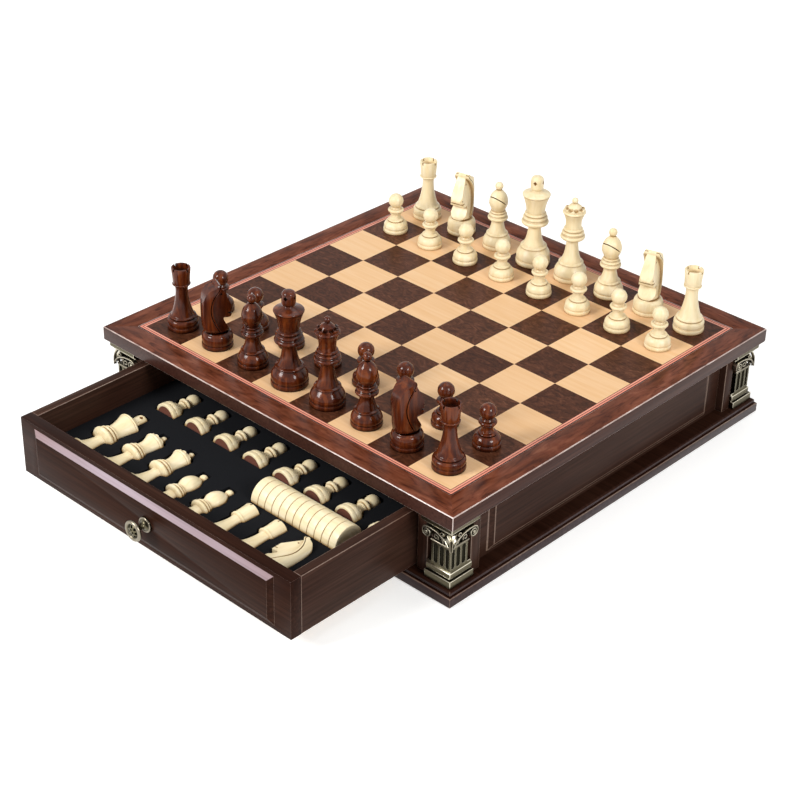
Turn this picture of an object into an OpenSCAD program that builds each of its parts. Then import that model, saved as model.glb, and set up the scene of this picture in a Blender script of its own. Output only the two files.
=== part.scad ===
// Chess box: an inlaid board on a panelled case with cast corner columns,
// two drawers with foam trays, and the full set of men and draughts.
// Millimetres, +Z up. The origin is the centre of the underside, and the front
// drawer opens towards -Y.

/* [Board] */
// Side of one square
square_w = 41.25; // [32:0.25:56]
// Squares along each side
square_count = 8; // [8]
// Width of the inlaid stringing band round the squares
stringing_w = 4.75; // [3:0.25:9]
// Width of the border from the stringing to the edge
border_w = 20.25; // [16:0.25:30]
// Thickness of the whole board
board_t = 12.3; // [8:0.1:20]
// Thickness of the inlaid veneer
veneer_t = 1; // [0.6:0.1:2]
// Radius of the rounded edges of the board
arris_r = 1.2; // [0.6:0.1:2.5]

/* [Case] */
// Height of the whole box without the men
box_h = 78.8; // [72:0.1:110]
// Height of the base moulding
base_h = 12.3; // [9:0.1:18]
// Width of each mitred board of the base
base_board_w = 50; // [40:1:60]
// Distance of the post faces in from the board edge
post_inset = 8.2; // [6:0.1:14]
// Width of a square corner post
post_w = 31.8; // [26:0.1:40]
// Distance of the panel faces in from the board edge
panel_inset = 14.5; // [10:0.1:20]
// Thickness of a side panel
panel_t = 12; // [8:0.5:16]
// Height that the raised fields stand proud of their frames
field_rise = 2.6; // [1:0.1:4]
// Width of the bevel round a raised field
field_bevel = 4.6; // [2:0.1:8]
// Thickness of the divider between the two drawers
divider_t = 8; // [5:0.5:12]
// Height of the rails under the board, over the drawers
rail_h = 3.6; // [2:0.1:6]
// Depth of those rails from front to back
rail_d = 14; // [8:1:24]

/* [Columns] */
// Length of each leg of a column's plinth
plinth_leg = 25; // [21:0.5:28]
// Length of each leg of a column's fluted shaft
shaft_leg = 21; // [17:0.5:22]
// Distance that the plinth stands out from the post
plinth_proud = 3.2; // [2:0.1:5]
// Depth of the rebate in the post that takes the casting
rebate_d = 4.8; // [3:0.1:7]
// Radius of a flute
flute_r = 1.75; // [1:0.05:2.2]
// Flutes on each face of a shaft
flute_count = 3; // [2:1:4]
// Radius of a scroll on the capital
scroll_r = 5; // [3.5:0.1:6]

/* [Drawers] */
// Distance that the front drawer stands open
front_open = 129.5; // [0:0.5:135]
// Gap between a drawer and the posts beside it
side_gap = 2.2; // [1:0.1:4]
// Running gap between a drawer and its runners, stops and rails
run_gap = 0.3; // [0.2:0.05:0.8]
// Thickness of the runner strips under a drawer
runner_t = 0.7; // [0.5:0.1:2]
// Thickness of a drawer front
front_t = 10; // [8:0.1:16]
// Thickness of the other drawer walls
wall_t = 7.8; // [5:0.1:10]
// Thickness of the drawer bottom
bottom_t = 2.5; // [2:0.5:5]
// Height of the grooves above the drawer's lower edge
groove_up = 2; // [1.5:0.5:6]
// Depth of the grooves that hold the bottom
groove_d = 3; // [2:0.5:4]
// Gap between the two drawers and the divider
stop_gap = 1.5; // [0.5:0.1:4]
// Diameter of the knob's head
knob_d = 18; // [12:0.5:24]
// Distance that the knob stands out of the raised field
knob_reach = 14.5; // [12:0.5:18]
// Radius of the screw that holds the knob
screw_r = 2; // [1.5:0.25:2.5]

/* [Tray] */
// Gap round each man in its hollow
pocket_gap = 0.7; // [0.4:0.1:1.2]
// Foam left under the deepest hollow
foam_skin = 0.7; // [0.5:0.1:3]
// Depth of the men's axes below the top of the foam
men_sink = 3; // [0:0.1:5]
// Distance of the first row from the drawer front
row_margin = 1.2; // [1:0.1:6]
// Distance of the first row from the left side of the drawer
row_side = 11.8; // [4:0.1:16]
// Gap between the bases of the men in the first row
man_gap = 4; // [2:0.1:8]
// Foam left between the draughts' hollow and the rooks' and knight's
foam_wall = 3; // [0.5:0.1:5]
// Foam left between the draughts' hollow and the bishop's
draught_gap = 9.9; // [0.8:0.1:11]
// Distance between the centres of two stored pawns
pawn_pitch = 33.2; // [24:0.1:35]
// Distance of the last pawn from the right side of the drawer
pawn_side = 3.3; // [2:0.1:10]
// Share of the spare length that lies before the pawns
pawn_share = 0.43; // [0.3:0.01:0.7]

/* [Men] */
// Height of a king
king_h = 80.5; // [60:0.5:97]
// Radius of a king's base
king_r = 14.8; // [11:0.1:18]
// Height of a queen
queen_h = 74.5; // [55:0.5:90]
// Radius of a queen's base
queen_r = 14; // [10:0.1:17]
// Height of a bishop
bishop_h = 61; // [45:0.5:74]
// Radius of a bishop's base
bishop_r = 12.3; // [9:0.1:15]
// Height of a knight
knight_h = 56; // [42:0.5:68]
// Radius of a knight's base
knight_r = 12.6; // [9:0.1:15.5]
// Height of a rook
rook_h = 54; // [40:0.5:65]
// Radius of a rook's base
rook_r = 12.7; // [9:0.1:15.5]
// Height of a pawn
pawn_h = 35.5; // [27:0.5:43]
// Radius of a pawn's base
pawn_r = 10.8; // [8:0.1:13]
// Thickness of the felt under a man
felt_t = 0.8; // [0.5:0.1:1.5]
// Wooden rim left round the felt
felt_rim = 2.4; // [1:0.1:3]
// Diameter of a draught
draught_d = 27.5; // [20:0.5:33]
// Thickness of a draught
draught_t = 7.3; // [5:0.1:9]
// Draughts of each colour
draught_count = 12; // [8:1:12]

/* [Hidden] */
$fn = 48;

// Finishes
ESPRESSO = "#3b2722";
WALNUT = "#5a342b";
MAPLE = "#ebc88f";
BURL = "#3e2a24";
SALMON = "#e8a08a";
PEWTER = "#8c8770";
FOAM = "#141618";
DARK_MAN = "#6b2e1c";
LIGHT_MAN = "#ecdcae";
FELT = "#6a3d2c";

// Half widths, measured from the middle of the board
squares_half = square_w * square_count / 2;
field_half = squares_half + stringing_w;
board_half = field_half + border_w;
post_half = board_half - post_inset;
post_in = post_half - post_w;
panel_half = board_half - panel_inset;
panel_in = panel_half - panel_t;
column_half = post_half + plinth_proud;
casting_back = post_half - rebate_d;
drawer_half = post_in - side_gap;
drawer_in = drawer_half - wall_t;

// Heights
board_bottom = box_h - board_t;
core_top = box_h - veneer_t;
panel_h = board_bottom - base_h;
drawer_z = base_h + runner_t + run_gap;
drawer_top = board_bottom - rail_h - 2 * run_gap;
drawer_h = drawer_top - drawer_z;
floor_z = drawer_z + groove_up;
tray_z = floor_z + bottom_t;
deepest_r = max(king_r, queen_r, bishop_r, knight_r, rook_r, pawn_r, draught_d / 2 - men_sink);
lie_z = tray_z + foam_skin + pocket_gap + deepest_r;
foam_top = lie_z + men_sink;

// The drawer, along its own length from the face of its front
drawer_len = panel_half - divider_t / 2 - stop_gap;
tray_start = front_t;
tray_end = drawer_len - wall_t;
spare = tray_end - tray_start - row_margin - king_h - pawn_h;
pawn_row = tray_start + row_margin + king_h + spare * pawn_share;
rook_tip = tray_start + row_margin + max(rook_h, knight_h);
draught_row = rook_tip + draught_d / 2 + 2 * pocket_gap + foam_wall;
knob_z = drawer_z + drawer_h / 2;

// Heights of a column's plinth and capital; the shaft fills what is left
plinth_h = 12.9;
capital_h = 22.8;
shaft_top = panel_h - capital_h;
// Distance that the capital's abacus stands out over the plinth
abacus_out = 1.4;

// The base's recess, which takes the panel and the baize
recess_lap = 12;
recess_half = board_half - base_board_w + recess_lap;
baize_t = 1;
base_panel_t = 6;
recess_gap = 0.3;
// Height of the base's slab, below its quirk
slab_h = base_h * 0.675;

// Hairline that keeps glued and screwed pieces apart as pieces
glue_gap = 0.05;
draught_pitch = draught_t + glue_gap;

// Head of the knob's screw, and how far it is sunk in the drawer front
screw_head_h = 2.2;
screw_sink = 0.2;
screw_fit = 0.1;

// Points along an arc about (cx, cy)
function arc(cx, cy, r, from, to, n) =
    [for (i = [0:n]) let (a = from + (to - from) * i / n) [cx + r * cos(a), cy + r * sin(a)]];

// A smooth curve through the points, n steps to each stretch
function blend(a, b, c, d, t) =
    0.5 * (2 * b + (c - a) * t + (2 * a - 5 * b + 4 * c - d) * t * t
        + (3 * b - a - 3 * c + d) * t * t * t);
function smooth(p, n = 3) = [
    for (i = [0:len(p) - 2], k = [0:n - 1])
        blend(p[max(i - 1, 0)], p[i], p[i + 1], p[min(i + 2, len(p) - 1)], k / n),
    p[len(p) - 1]
];

// A rounded bead on a turning, from height z0 to z1 and out to radius r
function bead(r, z0, z1, n = 4) =
    let (m = (z1 - z0) / 2) arc(r - m, (z0 + z1) / 2, m, -80, 80, n);

// Profiles of the turned men, as radius and height in the proportions of a
// man whose base radius and height are given first
function turned_foot(r, z) = concat([[r - 0.4, 0], [r, 0.5], [r, z - 0.5], [r - 0.6, z]]);

function king_profile() = concat(
    turned_foot(14.8, 4.2),
    smooth([[14.0, 4.6], [14.5, 6.6], [14.0, 10.0], [12.2, 13.2], [10.8, 14.8]]),
    bead(11.4, 15.0, 16.8),
    smooth([[9.2, 17.4], [7.0, 23], [5.9, 29], [5.5, 33.5], [6.2, 36.0]]),
    bead(11.7, 36.8, 41.6, 5),
    bead(10.1, 42.4, 45.0),
    smooth([[7.9, 45.6], [8.3, 51], [9.5, 57], [11.5, 62.6]]),
    bead(12.0, 62.8, 64.8, 3),
    smooth([[9.8, 65.3], [6.4, 66.5], [4.6, 67.6], [4.5, 68.6]], 2),
    [[5.3, 69.4]],
    smooth([[5.5, 70.6], [5.5, 76.2], [4.9, 78.7], [3.2, 80.1], [0, 80.5]]));

function queen_profile() = concat(
    turned_foot(14.0, 4.2),
    smooth([[13.3, 4.6], [13.8, 6.4], [13.2, 9.6], [11.4, 12.6], [10.0, 14.4]]),
    bead(10.6, 14.6, 16.2),
    smooth([[8.7, 16.8], [6.6, 22.5], [5.5, 29], [5.1, 34.5], [5.8, 37.2]]),
    bead(10.5, 38.0, 42.4, 5),
    bead(9.2, 43.2, 45.6),
    smooth([[7.3, 46.2], [6.8, 51], [7.3, 56], [9.0, 60.4]]),
    bead(9.8, 60.6, 63.0, 3),
    [[8.8, 64.6], [7.6, 65.0]],
    smooth([[7.0, 64.2], [6.0, 66.0], [4.2, 68.0], [2.3, 69.3]]),
    arc(0, 71.8, 2.7, -50, 90, 6));

function bishop_profile() = concat(
    turned_foot(12.3, 3.7),
    smooth([[11.7, 4.1], [12.1, 5.8], [11.5, 8.4], [10.0, 11.0], [8.9, 12.2]]),
    bead(9.5, 12.4, 13.8),
    smooth([[7.8, 14.4], [6.2, 19], [5.4, 23.5], [5.7, 26.2]]),
    bead(8.9, 26.8, 30.6, 5),
    bead(7.7, 31.4, 33.4),
    smooth([[5.6, 34.2], [6.8, 37], [8.1, 41], [8.1, 45], [6.6, 49.4], [4.0, 52.6], [2.4, 54.0]]),
    arc(0, 57.4, 3.6, -66, 90, 7));

function rook_profile() = concat(
    turned_foot(12.7, 3.8),
    bead(12.5, 4.0, 8.8, 5),
    bead(11.2, 9.0, 11.8),
    bead(9.8, 12.2, 13.8, 3),
    smooth([[8.4, 14.4], [6.6, 21], [5.4, 28], [5.0, 34.5], [5.5, 38.4]]),
    bead(7.4, 38.8, 40.4, 3),
    [[6.9, 40.8], [7.1, 46.0], [7.9, 53.4], [7.6, 54.0], [6.3, 54.0], [5.7, 49.0], [0, 48.6]]);

function pawn_profile() = concat(
    turned_foot(10.8, 3.5),
    smooth([[10.0, 3.8], [10.4, 5.2], [10.0, 7.4], [8.8, 9.2], [7.6, 10.2]]),
    bead(7.0, 10.4, 12.2, 3),
    smooth([[5.0, 12.6], [4.4, 14.6], [4.3, 16.8]], 2),
    bead(5.4, 17.0, 18.8, 3),
    bead(7.0, 19.0, 21.8, 4),
    [[4.6, 22.0], [4.2, 22.6]],
    arc(0, 29, 6.5, -56, 90, 10));

function knight_foot() = concat(
    turned_foot(12.6, 3.8),
    smooth([[11.9, 4.0], [12.4, 6.2], [12.3, 9.2], [11.4, 11.8], [10.0, 13.1], [8.6, 13.6]]),
    [[0, 13.6]]);

// The knight's head: seen from the side, from the front and from above
function knight_side() = concat(
    smooth([[-8.8, 13.4], [-10.8, 18], [-11.4, 26], [-10.6, 36], [-8.0, 45.5], [-3.6, 52.6]]),
    [[-1.2, 54.6], [0.2, 56.0], [1.6, 54.8], [2.0, 52.8]],
    smooth([[3.2, 51.0], [6.2, 45.5], [9.2, 39.6], [12.2, 34.0], [12.6, 31.8], [11.4, 30.4]], 2),
    [[7.6, 31.0], [7.4, 30.2], [10.8, 29.4]],
    smooth([[10.4, 28.0], [8.0, 27.2], [4.4, 28.0], [3.2, 27.2], [5.0, 23.0], [8.2, 17.4], [8.8, 13.4]], 2));
function knight_front() = [[8.6, 13.4], [8.9, 17], [8.3, 25], [6.6, 37], [5.2, 48], [4.3, 56.1],
    [-4.3, 56.1], [-5.2, 48], [-6.6, 37], [-8.3, 25], [-8.9, 17], [-8.6, 13.4]];
function knight_plan() = concat(
    [for (a = [180:15:360]) [9 * cos(a), 8.6 * sin(a) - 3]],
    [[9, 5], [6.2, 10], [4.4, 12.8], [-4.4, 12.8], [-6.2, 10], [-9, 5]]);

// What is planed off each cheek, from the side and from the front: all that
// lies before a curve that bows towards the mane
function knight_cheek() = concat(
    smooth([[2.4, 56.2], [-2.4, 47], [-5.0, 35], [-3.4, 23], [1.8, 13.5]]),
    [[14, 13.5], [14, 56.2]]);
function knight_planing() = [[3.4, 56.2], [7.4, 25], [8.5, 17], [9.2, 13.5], [14, 13.5], [14, 56.2]];

// Lathe-turned body of a man, with the shallow hollow for its felt
module turning(profile, r, h, made_r, made_h) {
    sr = r / made_r;
    sh = h / made_h;
    outline = [for (p = profile) [p[0] * sr, p[1] * sh]];
    rotate_extrude()
        polygon(concat([[0, felt_t], [r - felt_rim, felt_t], [r - felt_rim, 0]], outline,
            profile[len(profile) - 1][0] > 0 ? [[0, h]] : []));
}

module felt(r) {
    color(FELT) cylinder(r = r - felt_rim - glue_gap, h = felt_t - glue_gap);
}

// Crown of notches round the king's finial
module king_man() {
    difference() {
        turning(king_profile(), king_r, king_h, 14.8, 80.5);
        for (a = [0:90:270])
            rotate([0, 0, a]) translate([king_r * 0.42, 0, king_h * 0.955])
                rotate([0, 45, 0]) cube([king_r * 0.16, king_r, king_r * 0.16], center = true);
    }
}

// Points cut round the rim of the queen's cup
module queen_man() {
    difference() {
        turning(queen_profile(), queen_r, queen_h, 14.0, 74.5);
        for (a = [0:45:315])
            rotate([0, 0, a]) translate([queen_r * 0.46, 0, queen_h * 0.874])
                rotate([0, 90, 0]) cylinder(r = queen_r * 0.13, h = queen_r * 0.4, $fn = 24);
    }
}

// Slot cut slantwise into the bishop's mitre
module bishop_man() {
    difference() {
        turning(bishop_profile(), bishop_r, bishop_h, 12.3, 61);
        translate([bishop_r * 0.3, 0, bishop_h * 0.745]) rotate([0, -42, 0])
            cube([bishop_r * 0.95, bishop_r * 2, bishop_h * 0.014], center = true);
    }
}

// Battlements cut in the rook's hollow turret
module rook_man() {
    difference() {
        turning(rook_profile(), rook_r, rook_h, 12.7, 54);
        for (a = [0:90:90])
            rotate([0, 0, a]) translate([0, 0, rook_h * 0.983])
                cube([rook_r * 2, rook_r * 0.19, rook_h * 0.075], center = true);
    }
}

module pawn_man() {
    turning(pawn_profile(), pawn_r, pawn_h, 10.8, 35.5);
}

// Carved head, cut to three outlines, on a turned foot. It faces +Y.
module knight_man() {
    sr = knight_r / 12.6;
    sh = knight_h / 56;
    difference() {
        union() {
            turning(knight_foot(), knight_r, knight_h * 13.6 / 56, 12.6, 13.6);
            intersection() {
                rotate([90, 0, 90]) translate([0, 0, -knight_r])
                    linear_extrude(2 * knight_r)
                        polygon([for (p = knight_side()) [p[0] * sr, p[1] * sh]]);
                rotate([90, 0, 0]) translate([0, 0, -1.2 * knight_r])
                    linear_extrude(2.4 * knight_r)
                        polygon([for (p = knight_front()) [p[0] * sr, p[1] * sh]]);
                linear_extrude(knight_h + 1)
                    polygon([for (p = knight_plan()) [p[0] * sr, p[1] * sr]]);
            }
        }
        // cheeks, eyes and nostrils
        for (s = [-1, 1]) {
            intersection() {
                rotate([90, 0, 90]) translate([0, 0, -2 * knight_r]) linear_extrude(4 * knight_r)
                    polygon([for (p = knight_cheek()) [p[0] * sr, p[1] * sh]]);
                rotate([90, 0, 0]) translate([0, 0, -2 * knight_r]) linear_extrude(3 * knight_r)
                    polygon([for (p = knight_planing()) [s * p[0] * sr, p[1] * sh]]);
            }
            translate([s * knight_r * 0.37, knight_r * 0.2, knight_h * 0.83])
                rotate([0, 90, 0]) cylinder(r = 0.9, h = 1.8, center = true, $fn = 16);
            translate([s * knight_r * 0.44, knight_r * 0.83, knight_h * 0.6])
                rotate([0, 90, 0]) cylinder(r = 0.7, h = 2, center = true, $fn = 16);
        }
    }
}

module man(kind) {
    if (kind == "king") king_man();
    if (kind == "queen") queen_man();
    if (kind == "bishop") bishop_man();
    if (kind == "knight") knight_man();
    if (kind == "rook") rook_man();
    if (kind == "pawn") pawn_man();
}

function man_r(kind) = kind == "king" ? king_r : kind == "queen" ? queen_r
    : kind == "bishop" ? bishop_r : kind == "knight" ? knight_r : kind == "rook" ? rook_r : pawn_r;
function man_h(kind) = kind == "king" ? king_h : kind == "queen" ? queen_h
    : kind == "bishop" ? bishop_h : kind == "knight" ? knight_h : kind == "rook" ? rook_h : pawn_h;

// A man standing on square (file, rank), both counted from 0 at -X, -Y
module standing(kind, file, rank, shade) {
    translate([(file + 0.5) * square_w - squares_half, (rank + 0.5) * square_w - squares_half, box_h])
        rotate([0, 0, rank > 3 ? 180 : 0]) {
            color(shade) man(kind);
            felt(man_r(kind));
        }
}

// Bevelled raised field of a panel, centred on y = 0 and standing out along -Y
module raised_field(w, h) {
    b = field_bevel;
    r = field_rise;
    intersection() {
        translate([0, 0, -h / 2]) linear_extrude(h)
            polygon([[-w / 2, 0], [-w / 2 + b, -r], [w / 2 - b, -r], [w / 2, 0]]);
        translate([-w / 2, 0, 0]) rotate([0, 90, 0]) linear_extrude(w)
            polygon([[-h / 2, 0], [-h / 2 + b, -r], [h / 2 - b, -r], [h / 2, 0]]);
    }
}

// Straight length of a moulding along X, mitred at both ends. The profile is
// given as distance out from the middle of the frame and height.
module mitred_length(profile, outer) {
    intersection() {
        rotate([90, 0, -90]) translate([0, 0, -outer]) linear_extrude(2 * outer) polygon(profile);
        linear_extrude(box_h) polygon([[0, 0], [-outer, -outer], [outer, -outer]]);
    }
}

module mitred_frame(profile, outer) {
    for (a = [0:90:270])
        rotate([0, 0, a]) mitred_length(profile, outer);
}

module underside_baize() {
    color("#1f3a2a") translate([-recess_half + recess_gap, -recess_half + recess_gap, 0])
        cube([2 * (recess_half - recess_gap), 2 * (recess_half - recess_gap), baize_t]);
}

module base_panel() {
    color(ESPRESSO) translate([-recess_half + recess_gap, -recess_half + recess_gap, baize_t])
        cube([2 * (recess_half - recess_gap), 2 * (recess_half - recess_gap), base_panel_t]);
}

// Slab, quirk and ovolo on the outside, rebate for the panel underneath
module base_moulding() {
    in = board_half - base_board_w;
    shelf = baize_t + base_panel_t;
    top_r = (base_h - slab_h) / 2;
    profile = concat(
        [[in, shelf], [recess_half, shelf], [recess_half, 0], [board_half - 0.6, 0], [board_half, 0.6]],
        arc(board_half - 0.8, slab_h - 0.8, 0.8, 0, 90, 3),
        [[board_half - 3.6, slab_h], [board_half - 3.6, slab_h + 0.7], [board_half - 1.8, slab_h + 0.7]],
        arc(board_half - 1.8 - top_r, base_h - top_r, top_r, 0, 90, 4),
        [[in, base_h]]);
    color(ESPRESSO) mitred_frame(profile, board_half);
}

module corner_posts() {
    color(ESPRESSO)
        for (sx = [-1, 1], sy = [-1, 1])
            scale_sign(sx, sy) difference() {
                translate([post_in, post_in, base_h]) cube([post_w, post_w, panel_h]);
                translate([0, 0, base_h - 1]) linear_extrude(panel_h + 2)
                    polygon(ell(column_half - plinth_leg - run_gap, casting_back, post_half + 1));
            }
}

// An L in plan at the (+X, +Y) corner, from the legs' ends to their outer faces
function ell(ends, back, face) = [[ends, back], [back, back], [back, ends], [face, ends],
    [face, face], [ends, face]];

// Mirrors a thing made at the (+X, +Y) corner to any of the four corners
module scale_sign(sx, sy) {
    mirror([sx < 0 ? 1 : 0, 0, 0]) mirror([0, sy < 0 ? 1 : 0, 0]) children();
}

// One leg of a casting along the +Y face: a profile of distance out and
// height, run from x = ends to the mitre at the corner
module casting_leg(profile, ends, outer) {
    intersection() {
        translate([ends, 0, base_h]) rotate([90, 0, 90]) linear_extrude(outer - ends) polygon(profile);
        linear_extrude(box_h) polygon([[0, 0], [outer + 1, outer + 1], [0, outer + 1]]);
    }
}

// Both legs of a casting, mirrored about the corner's diagonal
module casting_legs(profile, ends, outer) {
    casting_leg(profile, ends, outer);
    mirror([1, -1, 0]) casting_leg(profile, ends, outer);
}

// Plinth block, torus and two fillets
function plinth_profile() = concat(
    [[casting_back, 0], [column_half, 0], [column_half, 6.1], [column_half - 1.6, 6.1]],
    arc(column_half - 1.7, 7.6, 1.4, -80, 80, 6),
    [[column_half - 1.9, 9.1], [column_half - 1.9, 10.6], [column_half - 2.6, 11],
        [column_half - 2.6, plinth_h], [casting_back, plinth_h]]);

// Neck ring, flaring bell and stepped abacus
function capital_profile() =
    let (x = column_half, z = shaft_top)
    concat(
        [[casting_back, z], [x - 2.7, z]],
        arc(x - 2.9, z + 0.9, 0.9, -80, 80, 4),
        smooth([[x - 3.6, z + 2], [x - 3.8, z + 8.6], [x - 2.6, z + 14.6], [x - 0.4, z + 18.8]], 2),
        [[x - 0.4, z + 19.6], [x + 0.6, z + 20], [x + 0.6, z + 21.2], [x + abacus_out, z + 21.6],
            [x + abacus_out, z + capital_h], [casting_back, z + capital_h]]);

// Band of a scroll, wound inwards from its outer radius
function scroll_band(r, turns, band) =
    let (n = 14 * turns)
    concat(
        [for (i = [0:n]) let (k = i / n) (r * (1 - 0.74 * k)) * [cos(360 * turns * k), sin(360 * turns * k)]],
        [for (i = [n:-1:0]) let (k = i / n)
            (r * (1 - 0.74 * k) - band * (1 - 0.45 * k)) * [cos(360 * turns * k), sin(360 * turns * k)]]);

// Scroll on the +Y face, wound towards the corner
module scroll(x, z) {
    translate([x, column_half - 2.9, z]) rotate([-90, 0, 0]) {
        cylinder(r = scroll_r - 0.4, h = 2.6);
        rotate([0, 0, -90]) linear_extrude(3.8) polygon(scroll_band(scroll_r, 2, 1.3));
        cylinder(r = 1.2, h = 4.2);
    }
}

// Half width of an acanthus leaf at a share t of its length, cut into lobes
function leaf_edge(t, w, lobes) =
    w * pow(sin(180 * pow(t, 0.75)), 0.6) * (1 - 0.3 * abs(cos(180 * lobes * t)));

// Flat leaf with a lobed edge, standing along +Z, its back at y = 0
module leaf(len, w, lobes, thick) {
    n = 5 * lobes;
    rotate([90, 0, 180]) linear_extrude(thick)
        polygon(concat(
            [for (i = [0:n]) [leaf_edge(i / n, w, lobes), len * i / n]],
            [for (i = [n - 1:-1:1]) [-leaf_edge(i / n, w, lobes), len * i / n]]));
    translate([0, thick * 0.4, 0]) cylinder(r1 = w * 0.2, r2 = 0.3, h = len * 0.9, $fn = 16);
}

// Cutter for one flute, with arched ends
module flute(h) {
    rotate_extrude($fn = 24)
        polygon([[0, 0], [flute_r * 0.7, flute_r * 0.3], [flute_r, flute_r], [flute_r, h - flute_r],
            [flute_r * 0.7, h - flute_r * 0.3], [0, h]]);
}

module corner_column() {
    ends = column_half - plinth_leg;
    shaft_end = column_half - shaft_leg;
    face = column_half - 2.7;
    flute_pitch = (face - shaft_end) / (flute_count + 0.35);
    flute_end = 1.15;
    casting_legs(plinth_profile(), ends, column_half);
    difference() {
        casting_legs([[casting_back, plinth_h], [face, plinth_h], [face, shaft_top],
            [casting_back, shaft_top]], shaft_end, face);
        for (k = [0, 1], i = [0:flute_count - 1])
            mirror([k, -k, 0])
                translate([shaft_end + (i + 0.6) * flute_pitch, face + 0.35, base_h + plinth_h + flute_end])
                    flute(shaft_top - plinth_h - 2 * flute_end);
    }
    casting_legs(capital_profile(), shaft_end, column_half + abacus_out);
    for (k = [0, 1]) mirror([k, -k, 0]) {
        scroll(ends + scroll_r + 0.4, base_h + shaft_top + 19.6 - scroll_r);
        translate([ends + scroll_r * 2 + 4.6, column_half - 4.2, base_h + shaft_top + 2])
            rotate([-10, 0, 0]) leaf(15, 4.2, 4, 1.6);
    }
    // leaf on the corner, leaning outwards
    translate([column_half - 3.7, column_half - 3.7, base_h + shaft_top + 1.6])
        rotate([-14, 0, 0]) rotate([0, 14, -45]) leaf(17.5, 4.4, 4, 1.8);
}

module corner_columns() {
    color(PEWTER)
        for (sx = [-1, 1], sy = [-1, 1])
            scale_sign(sx, sy) corner_column();
}

module side_panels() {
    end_margin = 16;
    edge_margin = 3;
    color(ESPRESSO)
        for (a = [90, 270])
            rotate([0, 0, a]) {
                translate([-post_in, -panel_half, base_h]) cube([2 * post_in, panel_t, panel_h]);
                translate([0, -panel_half, base_h + panel_h / 2])
                    raised_field(2 * (post_in - end_margin), panel_h - 2 * edge_margin);
            }
}

module drawer_divider() {
    color(ESPRESSO) translate([-panel_in, -divider_t / 2, base_h])
        cube([2 * panel_in, divider_t, panel_h]);
}

// Runner and guide in one, on each side of each drawer
module drawer_runners() {
    tread = 10;
    guide_h = 9;
    guide_x = drawer_half + run_gap;
    color(MAPLE)
        for (sx = [-1, 1], sy = [-1, 1])
            scale_sign(sx, sy) translate([0, post_in, base_h]) rotate([90, 0, 0])
                linear_extrude(post_in - divider_t / 2)
                    polygon([[drawer_half - tread, 0], [panel_in, 0], [panel_in, guide_h],
                        [guide_x, guide_h], [guide_x, runner_t], [drawer_half - tread, runner_t]]);
}

// Thin rail between the posts, under the board at the front and the back
module top_rails() {
    color(ESPRESSO)
        for (sy = [-1, 1])
            translate([-post_in, sy > 0 ? panel_half - rail_d : -panel_half, board_bottom - rail_h])
                cube([2 * post_in, rail_d, rail_h]);
}

module board_core() {
    color(BURL) translate([-field_half, -field_half, board_bottom])
        cube([2 * field_half, 2 * field_half, core_top - board_bottom]);
}

module board_border() {
    profile = concat(
        [[field_half, board_bottom]],
        arc(board_half - arris_r, board_bottom + arris_r, arris_r, -90, 0, 4),
        arc(board_half - arris_r, box_h - arris_r, arris_r, 0, 90, 4),
        [[field_half, box_h]]);
    color(WALNUT) mitred_frame(profile, board_half);
}

module board_stringing() {
    color(SALMON)
        mitred_frame([[squares_half, core_top], [field_half, core_top], [field_half, box_h],
            [squares_half, box_h]], field_half);
}

// The squares of one shade; shade 0 holds the corner square at -X, -Y
module squares(shade) {
    for (i = [0:square_count - 1], j = [0:square_count - 1])
        if ((i + j) % 2 == shade)
            translate([i * square_w - squares_half, j * square_w - squares_half, core_top])
                cube([square_w, square_w, veneer_t]);
}

module dark_squares() {
    color(BURL) squares(0);
}

module light_squares() {
    color(MAPLE) squares(1);
}

// Puts a drawer, made along +Y from its face, in the front or the back
module in_front() {
    translate([0, -panel_half - front_open, 0]) children();
}
module in_back() {
    rotate([0, 0, 180]) translate([0, -panel_half, 0]) children();
}

module drawer_face() {
    end_margin = 16.6;
    edge_margin = 3.7;
    color(ESPRESSO) difference() {
        union() {
            translate([-drawer_half, 0, drawer_z]) cube([2 * drawer_half, front_t, drawer_h]);
            translate([0, 0, knob_z]) raised_field(2 * (drawer_half - end_margin), drawer_h - 2 * edge_margin);
        }
        groove();
        translate([0, -field_rise - 1, knob_z]) rotate([-90, 0, 0])
            cylinder(r = screw_r + screw_fit, h = field_rise + front_t + 2);
        translate([0, front_t - screw_head_h - screw_sink, knob_z]) rotate([-90, 0, 0])
            cylinder(r = 2 * screw_r + screw_fit, h = screw_head_h + 1);
    }
}

// Groove that holds the bottom in the front, the sides and the back
module groove() {
    translate([-drawer_in - groove_d, front_t - groove_d, floor_z])
        cube([2 * (drawer_in + groove_d), tray_end - front_t + 2 * groove_d, bottom_t]);
}

module drawer_box() {
    color(ESPRESSO) difference() {
        union() {
            for (s = [-1, 1])
                translate([s > 0 ? drawer_in : -drawer_half, front_t, drawer_z])
                    cube([wall_t, drawer_len - front_t, drawer_h]);
            translate([-drawer_in, tray_end, drawer_z])
                cube([2 * drawer_in, wall_t, drawer_h]);
        }
        groove();
    }
}

module drawer_bottom() {
    fit = 0.2;
    color(MAPLE)
        translate([-drawer_in - groove_d + fit, front_t - groove_d + fit, floor_z])
            cube([2 * (drawer_in + groove_d - fit), tray_end - front_t + 2 * (groove_d - fit), bottom_t]);
}

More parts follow.
